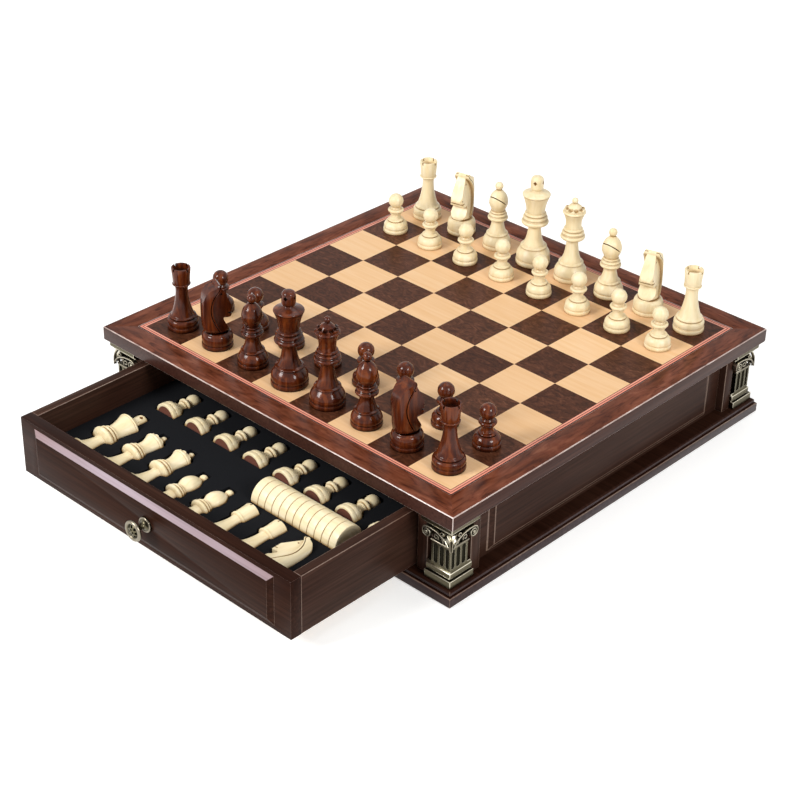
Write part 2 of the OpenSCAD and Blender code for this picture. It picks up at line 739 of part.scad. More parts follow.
// Turned knob with a rosette, and the machine screw that holds it
module drawer_knob() {
    neck_r = 2.9;
    tap_h = 6;
    color(PEWTER) translate([0, -field_rise, knob_z]) rotate([90, 0, 0]) difference() {
        rotate_extrude()
            polygon(concat(
                [[0, tap_h], [screw_r + glue_gap, tap_h], [screw_r + glue_gap, 0], [6.6, 0], [6.6, 0.8]],
                arc(5.2, 1.2, 1.2, 0, 90, 3),
                smooth([[4.2, 2.4], [neck_r, 3.6], [neck_r, 6.6], [4.6, 8.8]]),
                [[knob_d / 2 - 1.6, 9.6]],
                arc(knob_d / 2 - 1.3, 10.9, 1.3, -80, 90, 6),
                [[knob_d / 2 - 2.2, 12.0], [5.2, 11.6]],
                smooth([[4.4, 12.0], [3.4, 13.4], [0, knob_reach]])));
        for (a = [0:45:315])
            rotate([0, 0, a]) translate([knob_d / 2 - 3.3, 0, 11]) cylinder(r = 1.1, h = 2, $fn = 20);
    }
    color("silver") translate([0, front_t - screw_sink, knob_z]) rotate([90, 0, 0]) {
        cylinder(r = 2 * screw_r, h = screw_head_h);
        cylinder(r = screw_r, h = front_t - screw_sink + field_rise + tap_h - glue_gap);
    }
}

// Places of the first row of stored men: equal gaps between their bases
ROW = ["king", "queen", "queen", "bishop", "bishop", "rook", "rook", "knight"];
row_dia = [for (k = ROW) 2 * man_r(k)];
function total(v, n) = n == 0 ? 0 : v[n - 1] + total(v, n - 1);
function row_x(i) = row_side - drawer_in + total(row_dia, i) + i * man_gap + row_dia[i] / 2;

// Places of the pawns, counted from the left; the last lies by the right side
function pawn_x(i) = drawer_in - pawn_side - pawn_r - (7 - i) * pawn_pitch;

// Lays a man on its back with its head towards +Y
module lying(kind) {
    rotate([-90, 0, 0]) rotate([0, 0, kind == "knight" ? 90 : 0]) children();
}

module stored_men(shade) {
    for (i = [0:7]) {
        translate([row_x(i), tray_start + row_margin, lie_z]) lying(ROW[i]) {
            color(shade) man(ROW[i]);
            felt(man_r(ROW[i]));
        }
        translate([pawn_x(i), pawn_row, lie_z]) lying("pawn") {
            color(shade) man("pawn");
            felt(pawn_r);
        }
    }
}

// Outlines that the foam is cut to round each kind, as radius and height in
// the proportions of its profile; the last height is the man's own, or that of
// a knight's foot. The head of a knight, lying on its side, has its own hollow.
function knight_hollow() = [[-11.6, 13], [-12.2, 20], [-12.2, 28], [-11.2, 37.2], [-8.6, 46.4],
    [-4.2, 53.6], [-1.6, 55.8], [0.2, 57], [2.4, 55.4], [4, 51.4], [13, 34.6], [13.4, 31.4],
    [12, 28], [8.6, 26.2], [9.4, 17.6], [9.8, 13]];
function hollow(kind) =
    kind == "king" ? [[14.8, 0], [14.8, 15], [11.9, 16.6], [7.4, 22], [6.6, 34], [12, 36.4], [12, 42.4],
        [9.6, 46], [12.2, 61.4], [12.2, 65.4], [5.8, 68], [5.8, 80.5]]
    : kind == "queen" ? [[14, 0], [14, 13], [11, 16.2], [7.2, 22], [6, 35], [10.8, 37.6], [10.8, 43],
        [8.4, 47.4], [9.9, 60], [9.9, 64.8], [4.4, 69], [3.4, 74.5]]
    : kind == "bishop" ? [[12.3, 0], [12.3, 11.4], [9.8, 13.9], [6.6, 19], [6, 25], [9.1, 26.6],
        [9.1, 31.2], [7.2, 34.6], [8.6, 40], [8.6, 46.4], [4.6, 53], [4.2, 61]]
    : kind == "rook" ? [[12.7, 0], [12.7, 11], [10, 14], [7, 20], [5.8, 37], [7.8, 38.8], [8.2, 54]]
    : kind == "knight" ? [[12.6, 0], [12.6, 13.6]]
    : [[10.8, 0], [10.8, 8.4], [7.4, 12.2], [5.2, 13.6], [5.2, 16], [7.4, 18.4], [7.4, 22.2], [7, 24.6],
        [7, 32.8], [4.4, 35.5]];

// Row of draughts on edge, beside the head of the second bishop
bishop_head_r = bishop_r * 8.6 / 12.3;
draught_x = row_x(4) + bishop_head_r + 2 * pocket_gap + draught_gap;
module draught_stack(shade) {
    bevel = 1;
    r = draught_d / 2;
    color(shade)
        for (i = [0:draught_count - 1])
            translate([draught_x + i * draught_pitch, draught_row, foam_top]) rotate([0, 90, 0])
                rotate_extrude()
                    polygon(concat([[0, 0.5], [r - 4, 0.5], [r - 3.4, 0]],
                        arc(r - bevel, bevel, bevel, -90, 0, 3),
                        arc(r - bevel, draught_t - bevel, bevel, 0, 90, 3),
                        [[r - 3.4, draught_t], [r - 4, draught_t - 0.5], [0, draught_t - 0.5]]));
}

// Hollow for one man, lying along +Y with its base at the origin: round below
// its axis and straight up to the top of the foam
module pocket(kind) {
    g = pocket_gap;
    h = man_h(kind);
    outline = hollow(kind);
    n = len(outline) - 1;
    sr = man_r(kind) / outline[0][0];
    sh = h / (kind == "knight" ? 56 : outline[n][1]);
    half = [for (i = [0:n])
        [outline[i][0] * sr + g, outline[i][1] * sh + (i == 0 ? -2 * g : i == n ? g : 0)]];
    rotate([-90, 0, 0]) rotate_extrude()
        polygon(concat([[0, half[0][1]]], half, [[0, half[n][1]]]));
    linear_extrude(men_sink + 1)
        polygon(concat(half, [for (i = [n:-1:0]) [-half[i][0], half[i][1]]]));
    if (kind == "knight") {
        deep = knight_r * 0.72 + g;
        translate([0, 0, -deep]) linear_extrude(deep + men_sink + 1)
            polygon([for (p = knight_hollow()) [-p[0] * sr, p[1] * sh]]);
    }
}

module drawer_foam() {
    slack = 0.5;
    color(FOAM) difference() {
        translate([-drawer_in + slack, tray_start + slack, tray_z])
            cube([2 * (drawer_in - slack), tray_end - tray_start - 2 * slack, foam_top - tray_z]);
        for (i = [0:7]) {
            translate([row_x(i), tray_start + row_margin, lie_z]) pocket(ROW[i]);
            translate([pawn_x(i), pawn_row, lie_z]) pocket("pawn");
        }
        translate([draught_x - pocket_gap, draught_row, foam_top]) rotate([0, 90, 0])
            cylinder(r = draught_d / 2 + pocket_gap, h = draught_count * draught_pitch + 2 * pocket_gap);
    }
}

underside_baize();
base_moulding();
base_panel();
corner_posts();
corner_columns();
side_panels();
drawer_divider();
drawer_runners();
top_rails();
board_core();
board_border();
board_stringing();
dark_squares();
light_squares();

in_front() drawer_face();  // front_drawer_face
in_front() drawer_box();  // front_drawer_box
in_front() drawer_bottom();  // front_drawer_bottom
in_front() drawer_foam();  // front_drawer_foam
in_front() drawer_knob();  // front_drawer_knob
in_front() stored_men(LIGHT_MAN);  // stored_light_men
in_front() draught_stack(LIGHT_MAN);  // stored_light_draughts
in_back() drawer_face();  // back_drawer_face
in_back() drawer_box();  // back_drawer_box
in_back() drawer_bottom();  // back_drawer_bottom
in_back() drawer_foam();  // back_drawer_foam
in_back() drawer_knob();  // back_drawer_knob
in_back() stored_men(DARK_MAN);  // stored_dark_men
in_back() draught_stack(DARK_MAN);  // stored_dark_draughts

standing("rook", 0, 0, DARK_MAN);  // dark_rook_1
standing("knight", 1, 0, DARK_MAN);  // dark_knight_1
standing("bishop", 2, 0, DARK_MAN);  // dark_bishop_1
standing("king", 3, 0, DARK_MAN);  // dark_king
standing("queen", 4, 0, DARK_MAN);  // dark_queen
standing("bishop", 5, 0, DARK_MAN);  // dark_bishop_2
standing("knight", 6, 0, DARK_MAN);  // dark_knight_2
standing("rook", 7, 0, DARK_MAN);  // dark_rook_2
standing("rook", 0, 7, LIGHT_MAN);  // light_rook_1
standing("knight", 1, 7, LIGHT_MAN);  // light_knight_1
standing("bishop", 2, 7, LIGHT_MAN);  // light_bishop_1
standing("king", 3, 7, LIGHT_MAN);  // light_king
standing("queen", 4, 7, LIGHT_MAN);  // light_queen
standing("bishop", 5, 7, LIGHT_MAN);  // light_bishop_2
standing("knight", 6, 7, LIGHT_MAN);  // light_knight_2
standing("rook", 7, 7, LIGHT_MAN);  // light_rook_2
for (file = [0:7]) {
    standing("pawn", file, 1, DARK_MAN);
    standing("pawn", file, 6, LIGHT_MAN);
}
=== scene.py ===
"""Chess box with drawers: inlaid board, panelled case, cast corner columns, full set of men.

Metres, +Z up, the origin in the middle of the underside, the front drawer towards -Y.
Outlines and small sizes are written in millimetres, and mm() turns them.
"""
import math

import bpy
from mathutils import Matrix, Quaternion, Vector


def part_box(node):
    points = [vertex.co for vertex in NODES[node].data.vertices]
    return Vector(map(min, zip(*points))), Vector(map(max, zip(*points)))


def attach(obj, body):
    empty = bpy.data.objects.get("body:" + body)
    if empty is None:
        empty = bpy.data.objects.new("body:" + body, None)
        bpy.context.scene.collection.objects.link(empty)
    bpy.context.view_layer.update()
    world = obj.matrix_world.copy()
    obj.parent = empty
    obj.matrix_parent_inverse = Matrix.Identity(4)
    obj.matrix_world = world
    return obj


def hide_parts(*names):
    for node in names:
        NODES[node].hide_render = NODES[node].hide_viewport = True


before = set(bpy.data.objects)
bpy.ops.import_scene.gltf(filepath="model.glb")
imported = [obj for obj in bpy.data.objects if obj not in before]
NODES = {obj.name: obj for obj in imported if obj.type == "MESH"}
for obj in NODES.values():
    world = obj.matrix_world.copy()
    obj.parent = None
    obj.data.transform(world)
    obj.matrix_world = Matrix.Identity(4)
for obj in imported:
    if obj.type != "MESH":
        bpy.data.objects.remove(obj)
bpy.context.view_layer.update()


def mm(value):
    """Millimetres to metres, for a number or a tuple of them."""
    return value * 0.001 if isinstance(value, (int, float)) else tuple(v * 0.001 for v in value)


def moved(x, y, z):
    """The matrix that moves by so many mm."""
    return Matrix.Translation(mm((x, y, z)))


def swung(axis, angle):
    """The matrix that turns about an axis by an angle in degrees."""
    return Matrix.Rotation(math.radians(angle), 4, axis)


# ---------------------------------------------------------------- sizes

SQUARES_LOW, SQUARES_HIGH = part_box("dark_squares")
SQUARE = (SQUARES_HIGH.x - SQUARES_LOW.x) / 8
SQUARES_HALF = SQUARES_HIGH.x
STRING_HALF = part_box("board_stringing")[1].x
BOARD_TOP = SQUARES_HIGH.z

# The base radius of each kind of man, and the height of a pawn
BASE_RADIUS = {"king": 14.8, "queen": 14.0, "bishop": 12.3, "knight": 12.6, "rook": 12.7,
               "pawn": 10.8}
PAWN_HEIGHT = 35.5
# The hollow under a man, as its depth and the rim round it, and the play of the felt in it
FELT_T, FELT_RIM, FELT_PLAY = 0.8, 2.4, 0.05
# Diameter and thickness of a draught
DRAUGHT_D, DRAUGHT_T = 27.5, 7.3
# How many there are of one colour
PAWNS, DRAUGHTS = 8, 12

# The first row in a drawer from its left end, its gaps, and the pitch of the pawns behind it
STORED_ROW = ["king", "queen", "queen", "bishop", "bishop", "rook", "rook", "knight"]
MAN_GAP, PAWN_PITCH = 4.0, 33.2
# How far along the figure of the wood each next man is cut, in metres
GRAIN_STEP = (0.31, 0.17, 0.53)

# The rounding of the arrises of the case, the drawers and the border
ARRIS = 0.45
# The angle in degrees past which an edge is shaded sharp
SHARP = 38
# The z of a face's normal above which the face counts as level, and below which as upright
LEVEL, STEEP = 0.97, 0.5
# From the tip of a knob to the face of the drawer
KNOB_REACH = 14.5

HERE = Matrix.Identity(4)
HALF_TURN = Matrix.Rotation(math.pi, 4, "Z")
# Changes X for Y, which makes the other leg of a corner from the first one
ACROSS = Matrix(((0, 1, 0, 0), (1, 0, 0, 0), (0, 0, 1, 0), (0, 0, 0, 1)))
# From a prism's own axes to one drawn on YZ and raised along X, and to one drawn on XZ
SIDEWAYS = Matrix(((0, 0, 1, 0), (1, 0, 0, 0), (0, 1, 0, 0), (0, 0, 0, 1)))
UPRIGHT = Matrix(((1, 0, 0, 0), (0, 0, -1, 0), (0, 1, 0, 0), (0, 0, 0, 1)))


# ---------------------------------------------------------------- curves

def arc(cx, cy, r, start, end, n):
    """n + 1 points of an arc about (cx, cy), its angles in degrees."""
    turns = [math.radians(start + (end - start) * i / n) for i in range(n + 1)]
    return [(cx + r * math.cos(a), cy + r * math.sin(a)) for a in turns]


def spiral(cx, cy, outer, inner, start, end, n):
    """n + 1 points that wind in from one radius to another."""
    return [arc(cx, cy, outer + (inner - outer) * i / n, start + (end - start) * i / n, 0, 1)[0]
            for i in range(n + 1)]


def smooth(points, n=5):
    """A smooth curve through the points, n steps to each stretch."""
    out, last = [], len(points) - 1
    for i in range(last):
        nearby = points[max(i - 1, 0)], points[i], points[i + 1], points[min(i + 2, last)]
        for k in range(n):
            t = k / n
            out.append(tuple(
                0.5 * (2 * q + (r - p) * t + (2 * p - 5 * q + 4 * r - s) * t * t
                       + (3 * q - p - 3 * r + s) * t ** 3)
                for p, q, r, s in zip(*nearby)
            ))
    return out + [points[-1]]


def bead(r, low, high, n=8):
    """A rounded bead on a turning, between two heights and out to radius r."""
    half = (high - low) / 2
    return arc(r - half, (low + high) / 2, half, -80, 80, n)


def ring_of(count, r, z, first=0.0):
    """Places round a circle: each one's point and its angle in degrees."""
    angles = [first + 360 * i / count for i in range(count)]
    return [((r * math.cos(math.radians(a)), r * math.sin(math.radians(a)), z), a) for a in angles]


# ---------------------------------------------------------------- modelling

def begin(primitive, name, **settings):
    """Adds a primitive, alone selected, and opens it in edit mode."""
    bpy.ops.object.select_all(action="DESELECT")
    getattr(bpy.ops.mesh, f"primitive_{primitive}_add")(**settings)
    made = bpy.context.object
    made.name = made.data.name = name
    bpy.ops.object.mode_set(mode="EDIT")
    return made


def end(obj):
    """Leaves edit mode with the object's place in its mesh, smooth but for its sharp edges."""
    if bpy.context.mode != "OBJECT":
        bpy.ops.object.mode_set(mode="OBJECT")
    alone(obj)
    bpy.ops.object.transform_apply()
    bpy.ops.object.shade_smooth_by_angle(angle=math.radians(SHARP))
    return obj


def alone(*objs):
    """Selects these objects and nothing else; the first is active."""
    bpy.ops.object.select_all(action="DESELECT")
    for o in objs:
        o.select_set(True)
    bpy.context.view_layer.objects.active = objs[0]


def edit(obj):
    """Opens an object in edit mode with all of it selected."""
    alone(obj)
    bpy.ops.object.mode_set(mode="EDIT")
    bpy.ops.mesh.select_all(action="SELECT")


def pull(by):
    """Extrudes what is selected by a vector in metres."""
    bpy.ops.mesh.extrude_region_move(TRANSFORM_OT_translate={"value": by})


def draw(points):
    """Turns the primitive being edited into one open line through 3-D points."""
    bpy.ops.mesh.merge(type="CENTER")
    bpy.ops.transform.translate(value=points[0])
    for a, b in zip(points, points[1:]):
        pull(Vector(b) - Vector(a))


def turned(name, outline, steps=64):
    """A piece turned on a lathe about Z: its outline, radius and height in mm, spun round."""
    made = begin("plane", name, size=0.001)
    draw([mm((r, 0, z)) for r, z in outline])
    bpy.ops.mesh.select_all(action="SELECT")
    bpy.ops.mesh.spin(steps=steps, angle=math.tau, center=(0, 0, 0), axis=(0, 0, 1))
    bpy.ops.mesh.select_all(action="SELECT")
    bpy.ops.mesh.remove_doubles(threshold=1e-6)
    bpy.ops.mesh.normals_make_consistent(inside=False)
    return end(made)


def prism(name, outline, depth, turn):
    """A straight block of that outline, in mm, drawn on XY and raised along +Z, then turned."""
    made = begin("plane", name, size=0.001)
    draw([mm((x, y, 0)) for x, y in outline])
    bpy.ops.mesh.select_all(action="SELECT")
    bpy.ops.mesh.edge_face_add()
    pull((0, 0, mm(depth)))
    bpy.ops.mesh.select_all(action="SELECT")
    bpy.ops.mesh.normals_make_consistent(inside=False)
    bpy.ops.object.mode_set(mode="OBJECT")
    made.data.transform(turn)
    return end(made)


def rod(r, length, at, turn=(0, 0, 0)):
    """A round bar, r and length in mm, centred at a point and turned by Euler angles in degrees."""
    return end(begin("cylinder", "rod", vertices=24, radius=mm(r), depth=mm(length),
                     location=mm(at), rotation=[math.radians(a) for a in turn]))


def block(size, at, turn=(0, 0, 0)):
    """A square bar of that size in mm, centred at a point and turned by Euler angles in degrees."""
    return end(begin("cube", "block", size=1, location=mm(at),
                     rotation=[math.radians(a) for a in turn], scale=mm(size)))


def modify(obj, kind, **settings):
    """Adds a modifier with its settings, and applies it."""
    alone(obj)
    made = obj.modifiers.new(kind.title(), kind)
    for key, value in settings.items():
        setattr(made, key, value)
    bpy.ops.object.modifier_apply(modifier=made.name)


def cut(obj, *tools, operation="DIFFERENCE"):
    """Cuts obj with each tool, or joins or intersects them, and throws the tools away."""
    for tool in tools:
        modify(obj, "BOOLEAN", object=tool, operation=operation, solver="EXACT")
        bpy.data.objects.remove(tool)
    return end(obj)


def soften(obj, width, angle, segments=2, **settings):
    """Rounds every arris sharper than an angle in degrees by so many mm."""
    modify(obj, "BEVEL", width=mm(width), segments=segments, limit_method="ANGLE",
           angle_limit=math.radians(angle), use_clamp_overlap=True, **settings)
    return end(obj)


def pin(r, length, at, turn):
    """A round bar with rounded ends."""
    return soften(rod(r, length, at, turn), 0.5, angle=50, segments=3)


def join(name, *objs):
    """Makes one object of several, keeping their materials."""
    alone(*objs)
    bpy.ops.object.join()
    objs[0].name = objs[0].data.name = name
    return objs[0]


def finish_in(obj, *materials, pick=None):
    """Gives a piece its materials. pick() gives the number of each face's; without it all faces
    have the first."""
    obj.data.materials.clear()
    for material in materials:
        obj.data.materials.append(material)
    for face in obj.data.polygons:
        face.material_index = pick(face) if pick else 0


def copied(obj, name, matrix=HERE):
    """A copy with a mesh of its own, moved by a matrix, which may mirror it."""
    made = bpy.data.objects.new(name, obj.data.copy())
    bpy.context.scene.collection.objects.link(made)
    made.data.name = name
    made.data.transform(matrix)
    if matrix.determinant() < 0:
        made.data.flip_normals()
    return made


def put(obj, body, slot, *nodes):
    """Hands a finished piece to its body and hides the CAD nodes it stands for; slot is not used."""
    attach(obj, body)
    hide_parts(*nodes)
    return obj


def worked(name, body, slot, materials, node, pick=None):
    """A CAD node as a finished piece, its arrises rounded in the second material, a painted
    highlight.
    """
    piece = copied(NODES[node], name)
    edit(piece)
    bpy.ops.mesh.remove_doubles(threshold=1e-5)
    bpy.ops.mesh.dissolve_limited(angle_limit=math.radians(1))
    bpy.ops.object.mode_set(mode="OBJECT")
    finish_in(piece, *materials, pick=pick)
    # The rounded arrises get the second material, a paler colour painted on as the highlight of each
    # edge
    soften(piece, ARRIS, angle=28, miter_outer="MITER_ARC", material=1)
    return put(piece, body, slot, node)


# ---------------------------------------------------------------- materials

def srgb(code):
    """A hex colour such as #3b2722 as a linear RGBA tuple."""
    parts = [int(code[i:i + 2], 16) / 255 for i in (1, 3, 5)]
    linear = [c / 12.92 if c <= 0.04045 else ((c + 0.055) / 1.055) ** 2.4 for c in parts]
    return (*linear, 1.0)


def add(tree, kind, inputs=(), stops=(), **settings):
    """Adds a shader node with its settings. An input is a value, a hex colour, a socket, or a node,
    which means its first output, or a Mix node's colour. Stops are (place, hex colour) of a ramp."""
    made = tree.nodes.new("ShaderNode" + kind)
    for key, value in settings.items():
        setattr(made, key, value)
    for key, value in dict(inputs).items():
        if isinstance(value, bpy.types.Node):
            value = value.outputs[2 if value.bl_idname == "ShaderNodeMix" else 0]
        if isinstance(value, bpy.types.NodeSocket):
            tree.links.new(value, made.inputs[key])
        else:
            made.inputs[key].default_value = srgb(value) if isinstance(value, str) else value
    for i, (position, code) in enumerate(stops):
        band = made.color_ramp.elements
        if i == len(band):
            band.new(position)
        band[i].position, band[i].color = position, srgb(code)
    return made


def bare(data):
    """The empty node tree of a new material or world."""
    data.use_nodes = True
    data.node_tree.nodes.clear()
    return data.node_tree


def per_mm(*sizes):
    """The scale at which a pattern's lumps have these sizes in mm along X, Y and Z."""
    return tuple(1000 / size for size in sizes)


def lengthwise(along, length, width):
    """The scale of a figure that runs along one axis, its length and width in mm."""
    return per_mm(*[length if axis == along else width for axis in "XYZ"])


def surfaced(name, make, **settings):
    """A material on a Principled shader, whose inputs the function make(tree, ...) gives."""
    material = bpy.data.materials.new(name)
    tree = bare(material)
    add(tree, "OutputMaterial", {"Surface": add(tree, "BsdfPrincipled", make(tree, **settings))})
    return material


def stained_beech(tree, along, stops, gloss):
    """Beech, planed, stained espresso and sprayed with satin lacquer: nearly black-brown, its
    straight grain just showing, with broad clouds where the stain took unevenly. The flecks of
    beech are finer than a pixel, so the grain is drawn coarser, 2.2 mm wide."""
    where = add(tree, "TexCoord").outputs["Object"]
    fine = add(tree, "Mapping", {"Vector": where, "Scale": lengthwise(along, 90, 2.2)})
    grain = add(tree, "TexNoise", {"Vector": fine, "Scale": 1.0, "Detail": 5.0, "Roughness": 0.6,
                                   "Distortion": 0.4})
    wide = add(tree, "Mapping", {"Vector": where, "Scale": lengthwise(along, 140, 45)})
    cloud = add(tree, "TexNoise", {"Vector": wide, "Scale": 1.0, "Detail": 2.0})
    tone = add(tree, "ValToRGB", {"Fac": grain}, stops)
    tint = add(tree, "ValToRGB", {"Fac": cloud}, [(0.3, "#c8ada2"), (0.7, "#ffffff")])
    both = add(tree, "Mix", {0: 0.8, 6: tone, 7: tint}, data_type="RGBA", blend_type="MULTIPLY")
    pores = add(tree, "Bump", {"Height": grain, "Distance": mm(0.05), "Strength": 0.15})
    return {"Base Color": both, "Roughness": 0.34, "Specular IOR Level": gloss, "Normal": pores}


def from_middle(tree, axes, operation):
    """What an operation makes of the distances from the middle of the box along X and Y."""
    x_size, y_size = [add(tree, "Math", {0: axes.outputs[a]}, operation="ABSOLUTE") for a in "XY"]
    return add(tree, "Math", {0: x_size, 1: y_size}, operation=operation)


def walnut_burl(tree, stops, gloss):
    """Walnut burl veneer, sliced and polished: red-brown with broad soft flames and a few dark
    streaks across them, laid the other way at each mitre."""
    where = add(tree, "TexCoord").outputs["Object"]
    axes = add(tree, "SeparateXYZ", {"Vector": where})
    side = from_middle(tree, axes, "GREATER_THAN")
    swapped = add(tree, "CombineXYZ", {a: axes.outputs[b] for a, b in zip("XYZ", "YXZ")})
    laid = add(tree, "Mix", {0: side, 4: where, 5: swapped}, data_type="VECTOR").outputs[1]
    broad = add(tree, "Mapping", {"Vector": laid, "Rotation": (0, 0, 0.5),
                                  "Scale": per_mm(46, 17, 24)})
    flame = add(tree, "TexNoise", {"Vector": broad, "Scale": 1.0, "Detail": 3.0, "Roughness": 0.5,
                                   "Distortion": 1.3})
    narrow = add(tree, "Mapping", {"Vector": laid, "Rotation": (0, 0, 0.7),
                                   "Scale": per_mm(24, 5, 12)})
    streak = add(tree, "TexNoise", {"Vector": narrow, "Scale": 1.0, "Detail": 3.0, "Roughness": 0.6,
                                    "Distortion": 1.6})
    tone = add(tree, "ValToRGB", {"Fac": flame}, stops)
    shades = [(0.3, "#7d625a"), (0.46, "#e6d8d2"), (0.6, "#ffffff")]
    dark = add(tree, "ValToRGB", {"Fac": streak}, shades)
    both = add(tree, "Mix", {0: 0.8, 6: tone, 7: dark}, data_type="RGBA", blend_type="MULTIPLY")
    return {"Base Color": both, "Roughness": 0.28, "Specular IOR Level": gloss}


def one_leaf_a_square(tree):
    """Coordinates that jump by up to 3 m from square to square, so each shows a leaf of its own,
    and a number from 0 to 1 for each square."""
    where = add(tree, "TexCoord").outputs["Object"]
    cell = add(tree, "VectorMath", {0: where, 1: (SQUARE, SQUARE, 1.0)}, operation="DIVIDE")
    whole = add(tree, "VectorMath", {0: cell}, operation="FLOOR")
    jump = add(tree, "TexWhiteNoise", {"Vector": whole}, noise_dimensions="3D")
    shift = add(tree, "VectorMath", {0: jump.outputs["Color"], 1: (3.0, 3.0, 3.0)},
                operation="MULTIPLY")
    return add(tree, "VectorMath", {0: where, 1: shift}, operation="ADD"), jump.outputs["Value"]


def dark_burl(tree):
    """Walnut burl veneer, stained and lacquered: warm dark brown, its curls paler than the ground."""
    leaf, square = one_leaf_a_square(tree)
    wide = add(tree, "Mapping", {"Vector": leaf, "Scale": per_mm(17, 10, 10)})
    curl = add(tree, "TexNoise", {"Vector": wide, "Scale": 1.0, "Detail": 5.0, "Roughness": 0.6,
                                  "Distortion": 3.2})
    close = add(tree, "Mapping", {"Vector": leaf, "Scale": per_mm(7, 3, 4)})
    vein = add(tree, "TexNoise", {"Vector": close, "Scale": 1.0, "Detail": 4.0, "Roughness": 0.65,
                                  "Distortion": 1.8})
    ground = [(0.3, "#3c2216"), (0.46, "#52301f"), (0.58, "#613a28"), (0.74, "#7a5039")]
    tone = add(tree, "ValToRGB", {"Fac": curl}, ground)
    lines = add(tree, "ValToRGB", {"Fac": vein}, [(0.34, "#94807a"), (0.5, "#ffffff")])
    figured = add(tree, "Mix", {0: 0.55, 6: tone, 7: lines}, data_type="RGBA", blend_type="MULTIPLY")
    shade = add(tree, "ValToRGB", {"Fac": square}, [(0.0, "#d2c8c4"), (1.0, "#ffffff")])
    both = add(tree, "Mix", {0: 1.0, 6: figured, 7: shade}, data_type="RGBA", blend_type="MULTIPLY")
    return {"Base Color": both, "Roughness": 0.3, "Specular IOR Level": 0.07}


def maple(tree):
    """Maple veneer, lacquered: an even peach cream, its grain hardly darker than the ground."""
    leaf, square = one_leaf_a_square(tree)
    long = add(tree, "Mapping", {"Vector": leaf, "Scale": per_mm(60, 3.4, 3)})
    grain = add(tree, "TexNoise", {"Vector": long, "Scale": 1.0, "Detail": 4.0, "Roughness": 0.5,
                                   "Distortion": 0.6})
    ground = [(0.3, "#e6bb8a"), (0.5, "#eac193"), (0.72, "#edc79b")]
    tone = add(tree, "ValToRGB", {"Fac": grain}, ground)
    shade = add(tree, "ValToRGB", {"Fac": square}, [(0.0, "#f4efe9"), (1.0, "#ffffff")])
    both = add(tree, "Mix", {0: 1.0, 6: tone, 7: shade}, data_type="RGBA", blend_type="MULTIPLY")
    return {"Base Color": both, "Roughness": 0.34, "Specular IOR Level": 0.15}


def dyed_lines(tree):
    """Dyed veneer lines glued up as one band: two salmon lines with dark ones beside and between."""
    axes = add(tree, "SeparateXYZ", {"Vector": add(tree, "TexCoord").outputs["Object"]})
    reach = from_middle(tree, axes, "MAXIMUM")
    across = add(tree, "MapRange", {"Value": reach, "From Min": SQUARES_HALF,
                                    "From Max": STRING_HALF})
    lines = [(0.0, "#4a241c"), (0.12, "#e59a82"), (0.42, "#5b2d24"), (0.56, "#dc8b75"),
             (0.86, "#35190f")]
    band = add(tree, "ValToRGB", {"Fac": across}, lines)
    band.color_ramp.interpolation = "CONSTANT"
    return {"Base Color": band, "Roughness": 0.34, "Specular IOR Level": 0.15}


def turned_wood(tree, stops, groove, reach, roughness):
    """Wood turned on a lathe, stained and lacquered: the grain runs up each man, and the lacquer
    gives sharp small lights. Grooves and undercuts are painted darker, as shade, where ambient
    occlusion finds them closed in. The pores are finer than a pixel, so the grain is drawn coarser, 4
    mm wide."""
    where = add(tree, "Attribute", attribute_name="grain").outputs["Vector"]
    long = add(tree, "Mapping", {"Vector": where, "Scale": per_mm(4, 4, 60)})
    grain = add(tree, "TexNoise", {"Vector": long, "Scale": 1.0, "Detail": 4.0, "Roughness": 0.55,
                                   "Distortion": 0.5})
    tone = add(tree, "ValToRGB", {"Fac": grain}, stops)
    # Painted shade: the colour turns to the groove colour where the surface is closed in
    open_to = add(tree, "AmbientOcclusion", {"Distance": mm(reach)}, samples=6).outputs["AO"]
    groove_shade_amount = add(tree, "MapRange", {"Value": open_to, "From Min": 0.4, "From Max": 0.92,
                                  "To Min": 1.0, "To Max": 0.0})
    both = add(tree, "Mix", {0: groove_shade_amount, 6: tone, 7: groove}, data_type="RGBA")
    return {"Base Color": both, "Roughness": roughness, "Specular IOR Level": 0.24}


def pewter(tree, stops):
    """Pewter, cast and antiqued: black patina in the hollows, grey-green on the faces, and bare
    metal where it is rubbed."""
    where = add(tree, "TexCoord").outputs["Object"]
    patch = add(tree, "Mapping", {"Vector": where, "Scale": per_mm(2, 2, 2)})
    patches = add(tree, "TexNoise", {"Vector": patch, "Scale": 1.0, "Detail": 4.0})
    open_to = add(tree, "AmbientOcclusion", {"Distance": mm(3.0)}, samples=6).outputs["AO"]
    # How far the patches move the wear, half of it either way
    spread = 0.22
    raised = add(tree, "Math", {0: patches, 1: spread, 2: open_to}, operation="MULTIPLY_ADD")
    worn = add(tree, "Math", {0: raised, 1: spread / 2}, operation="SUBTRACT")
    colour = add(tree, "ValToRGB", {"Fac": worn}, stops)
    rough = add(tree, "Math", {0: patches, 1: 0.2, 2: 0.22}, operation="MULTIPLY_ADD")
    return {"Base Color": colour, "Metallic": 1.0, "Roughness": rough}


def pile(tree, size, dark, light, lift, gloss, sheen):
    """Fibres stood or pressed on a ground, flock or wool felt: matt, with a soft edge to the
    light. Single fibres are finer than a pixel, so they are drawn coarser, as tufts."""
    where = add(tree, "TexCoord").outputs["Object"]
    fine = add(tree, "Mapping", {"Vector": where, "Scale": per_mm(size, size, size)})
    fibre = add(tree, "TexNoise", {"Vector": fine, "Scale": 1.0, "Detail": 4.0, "Roughness": 0.75})
    tone = add(tree, "ValToRGB", {"Fac": fibre}, [(0.3, dark), (0.7, light)])
    raised = add(tree, "Bump", {"Height": fibre, "Distance": mm(0.2), "Strength": lift})
    return {"Base Color": tone, "Roughness": 0.95, "Specular IOR Level": gloss, "Sheen Weight": sheen,
            "Sheen Roughness": 0.5, "Normal": raised}


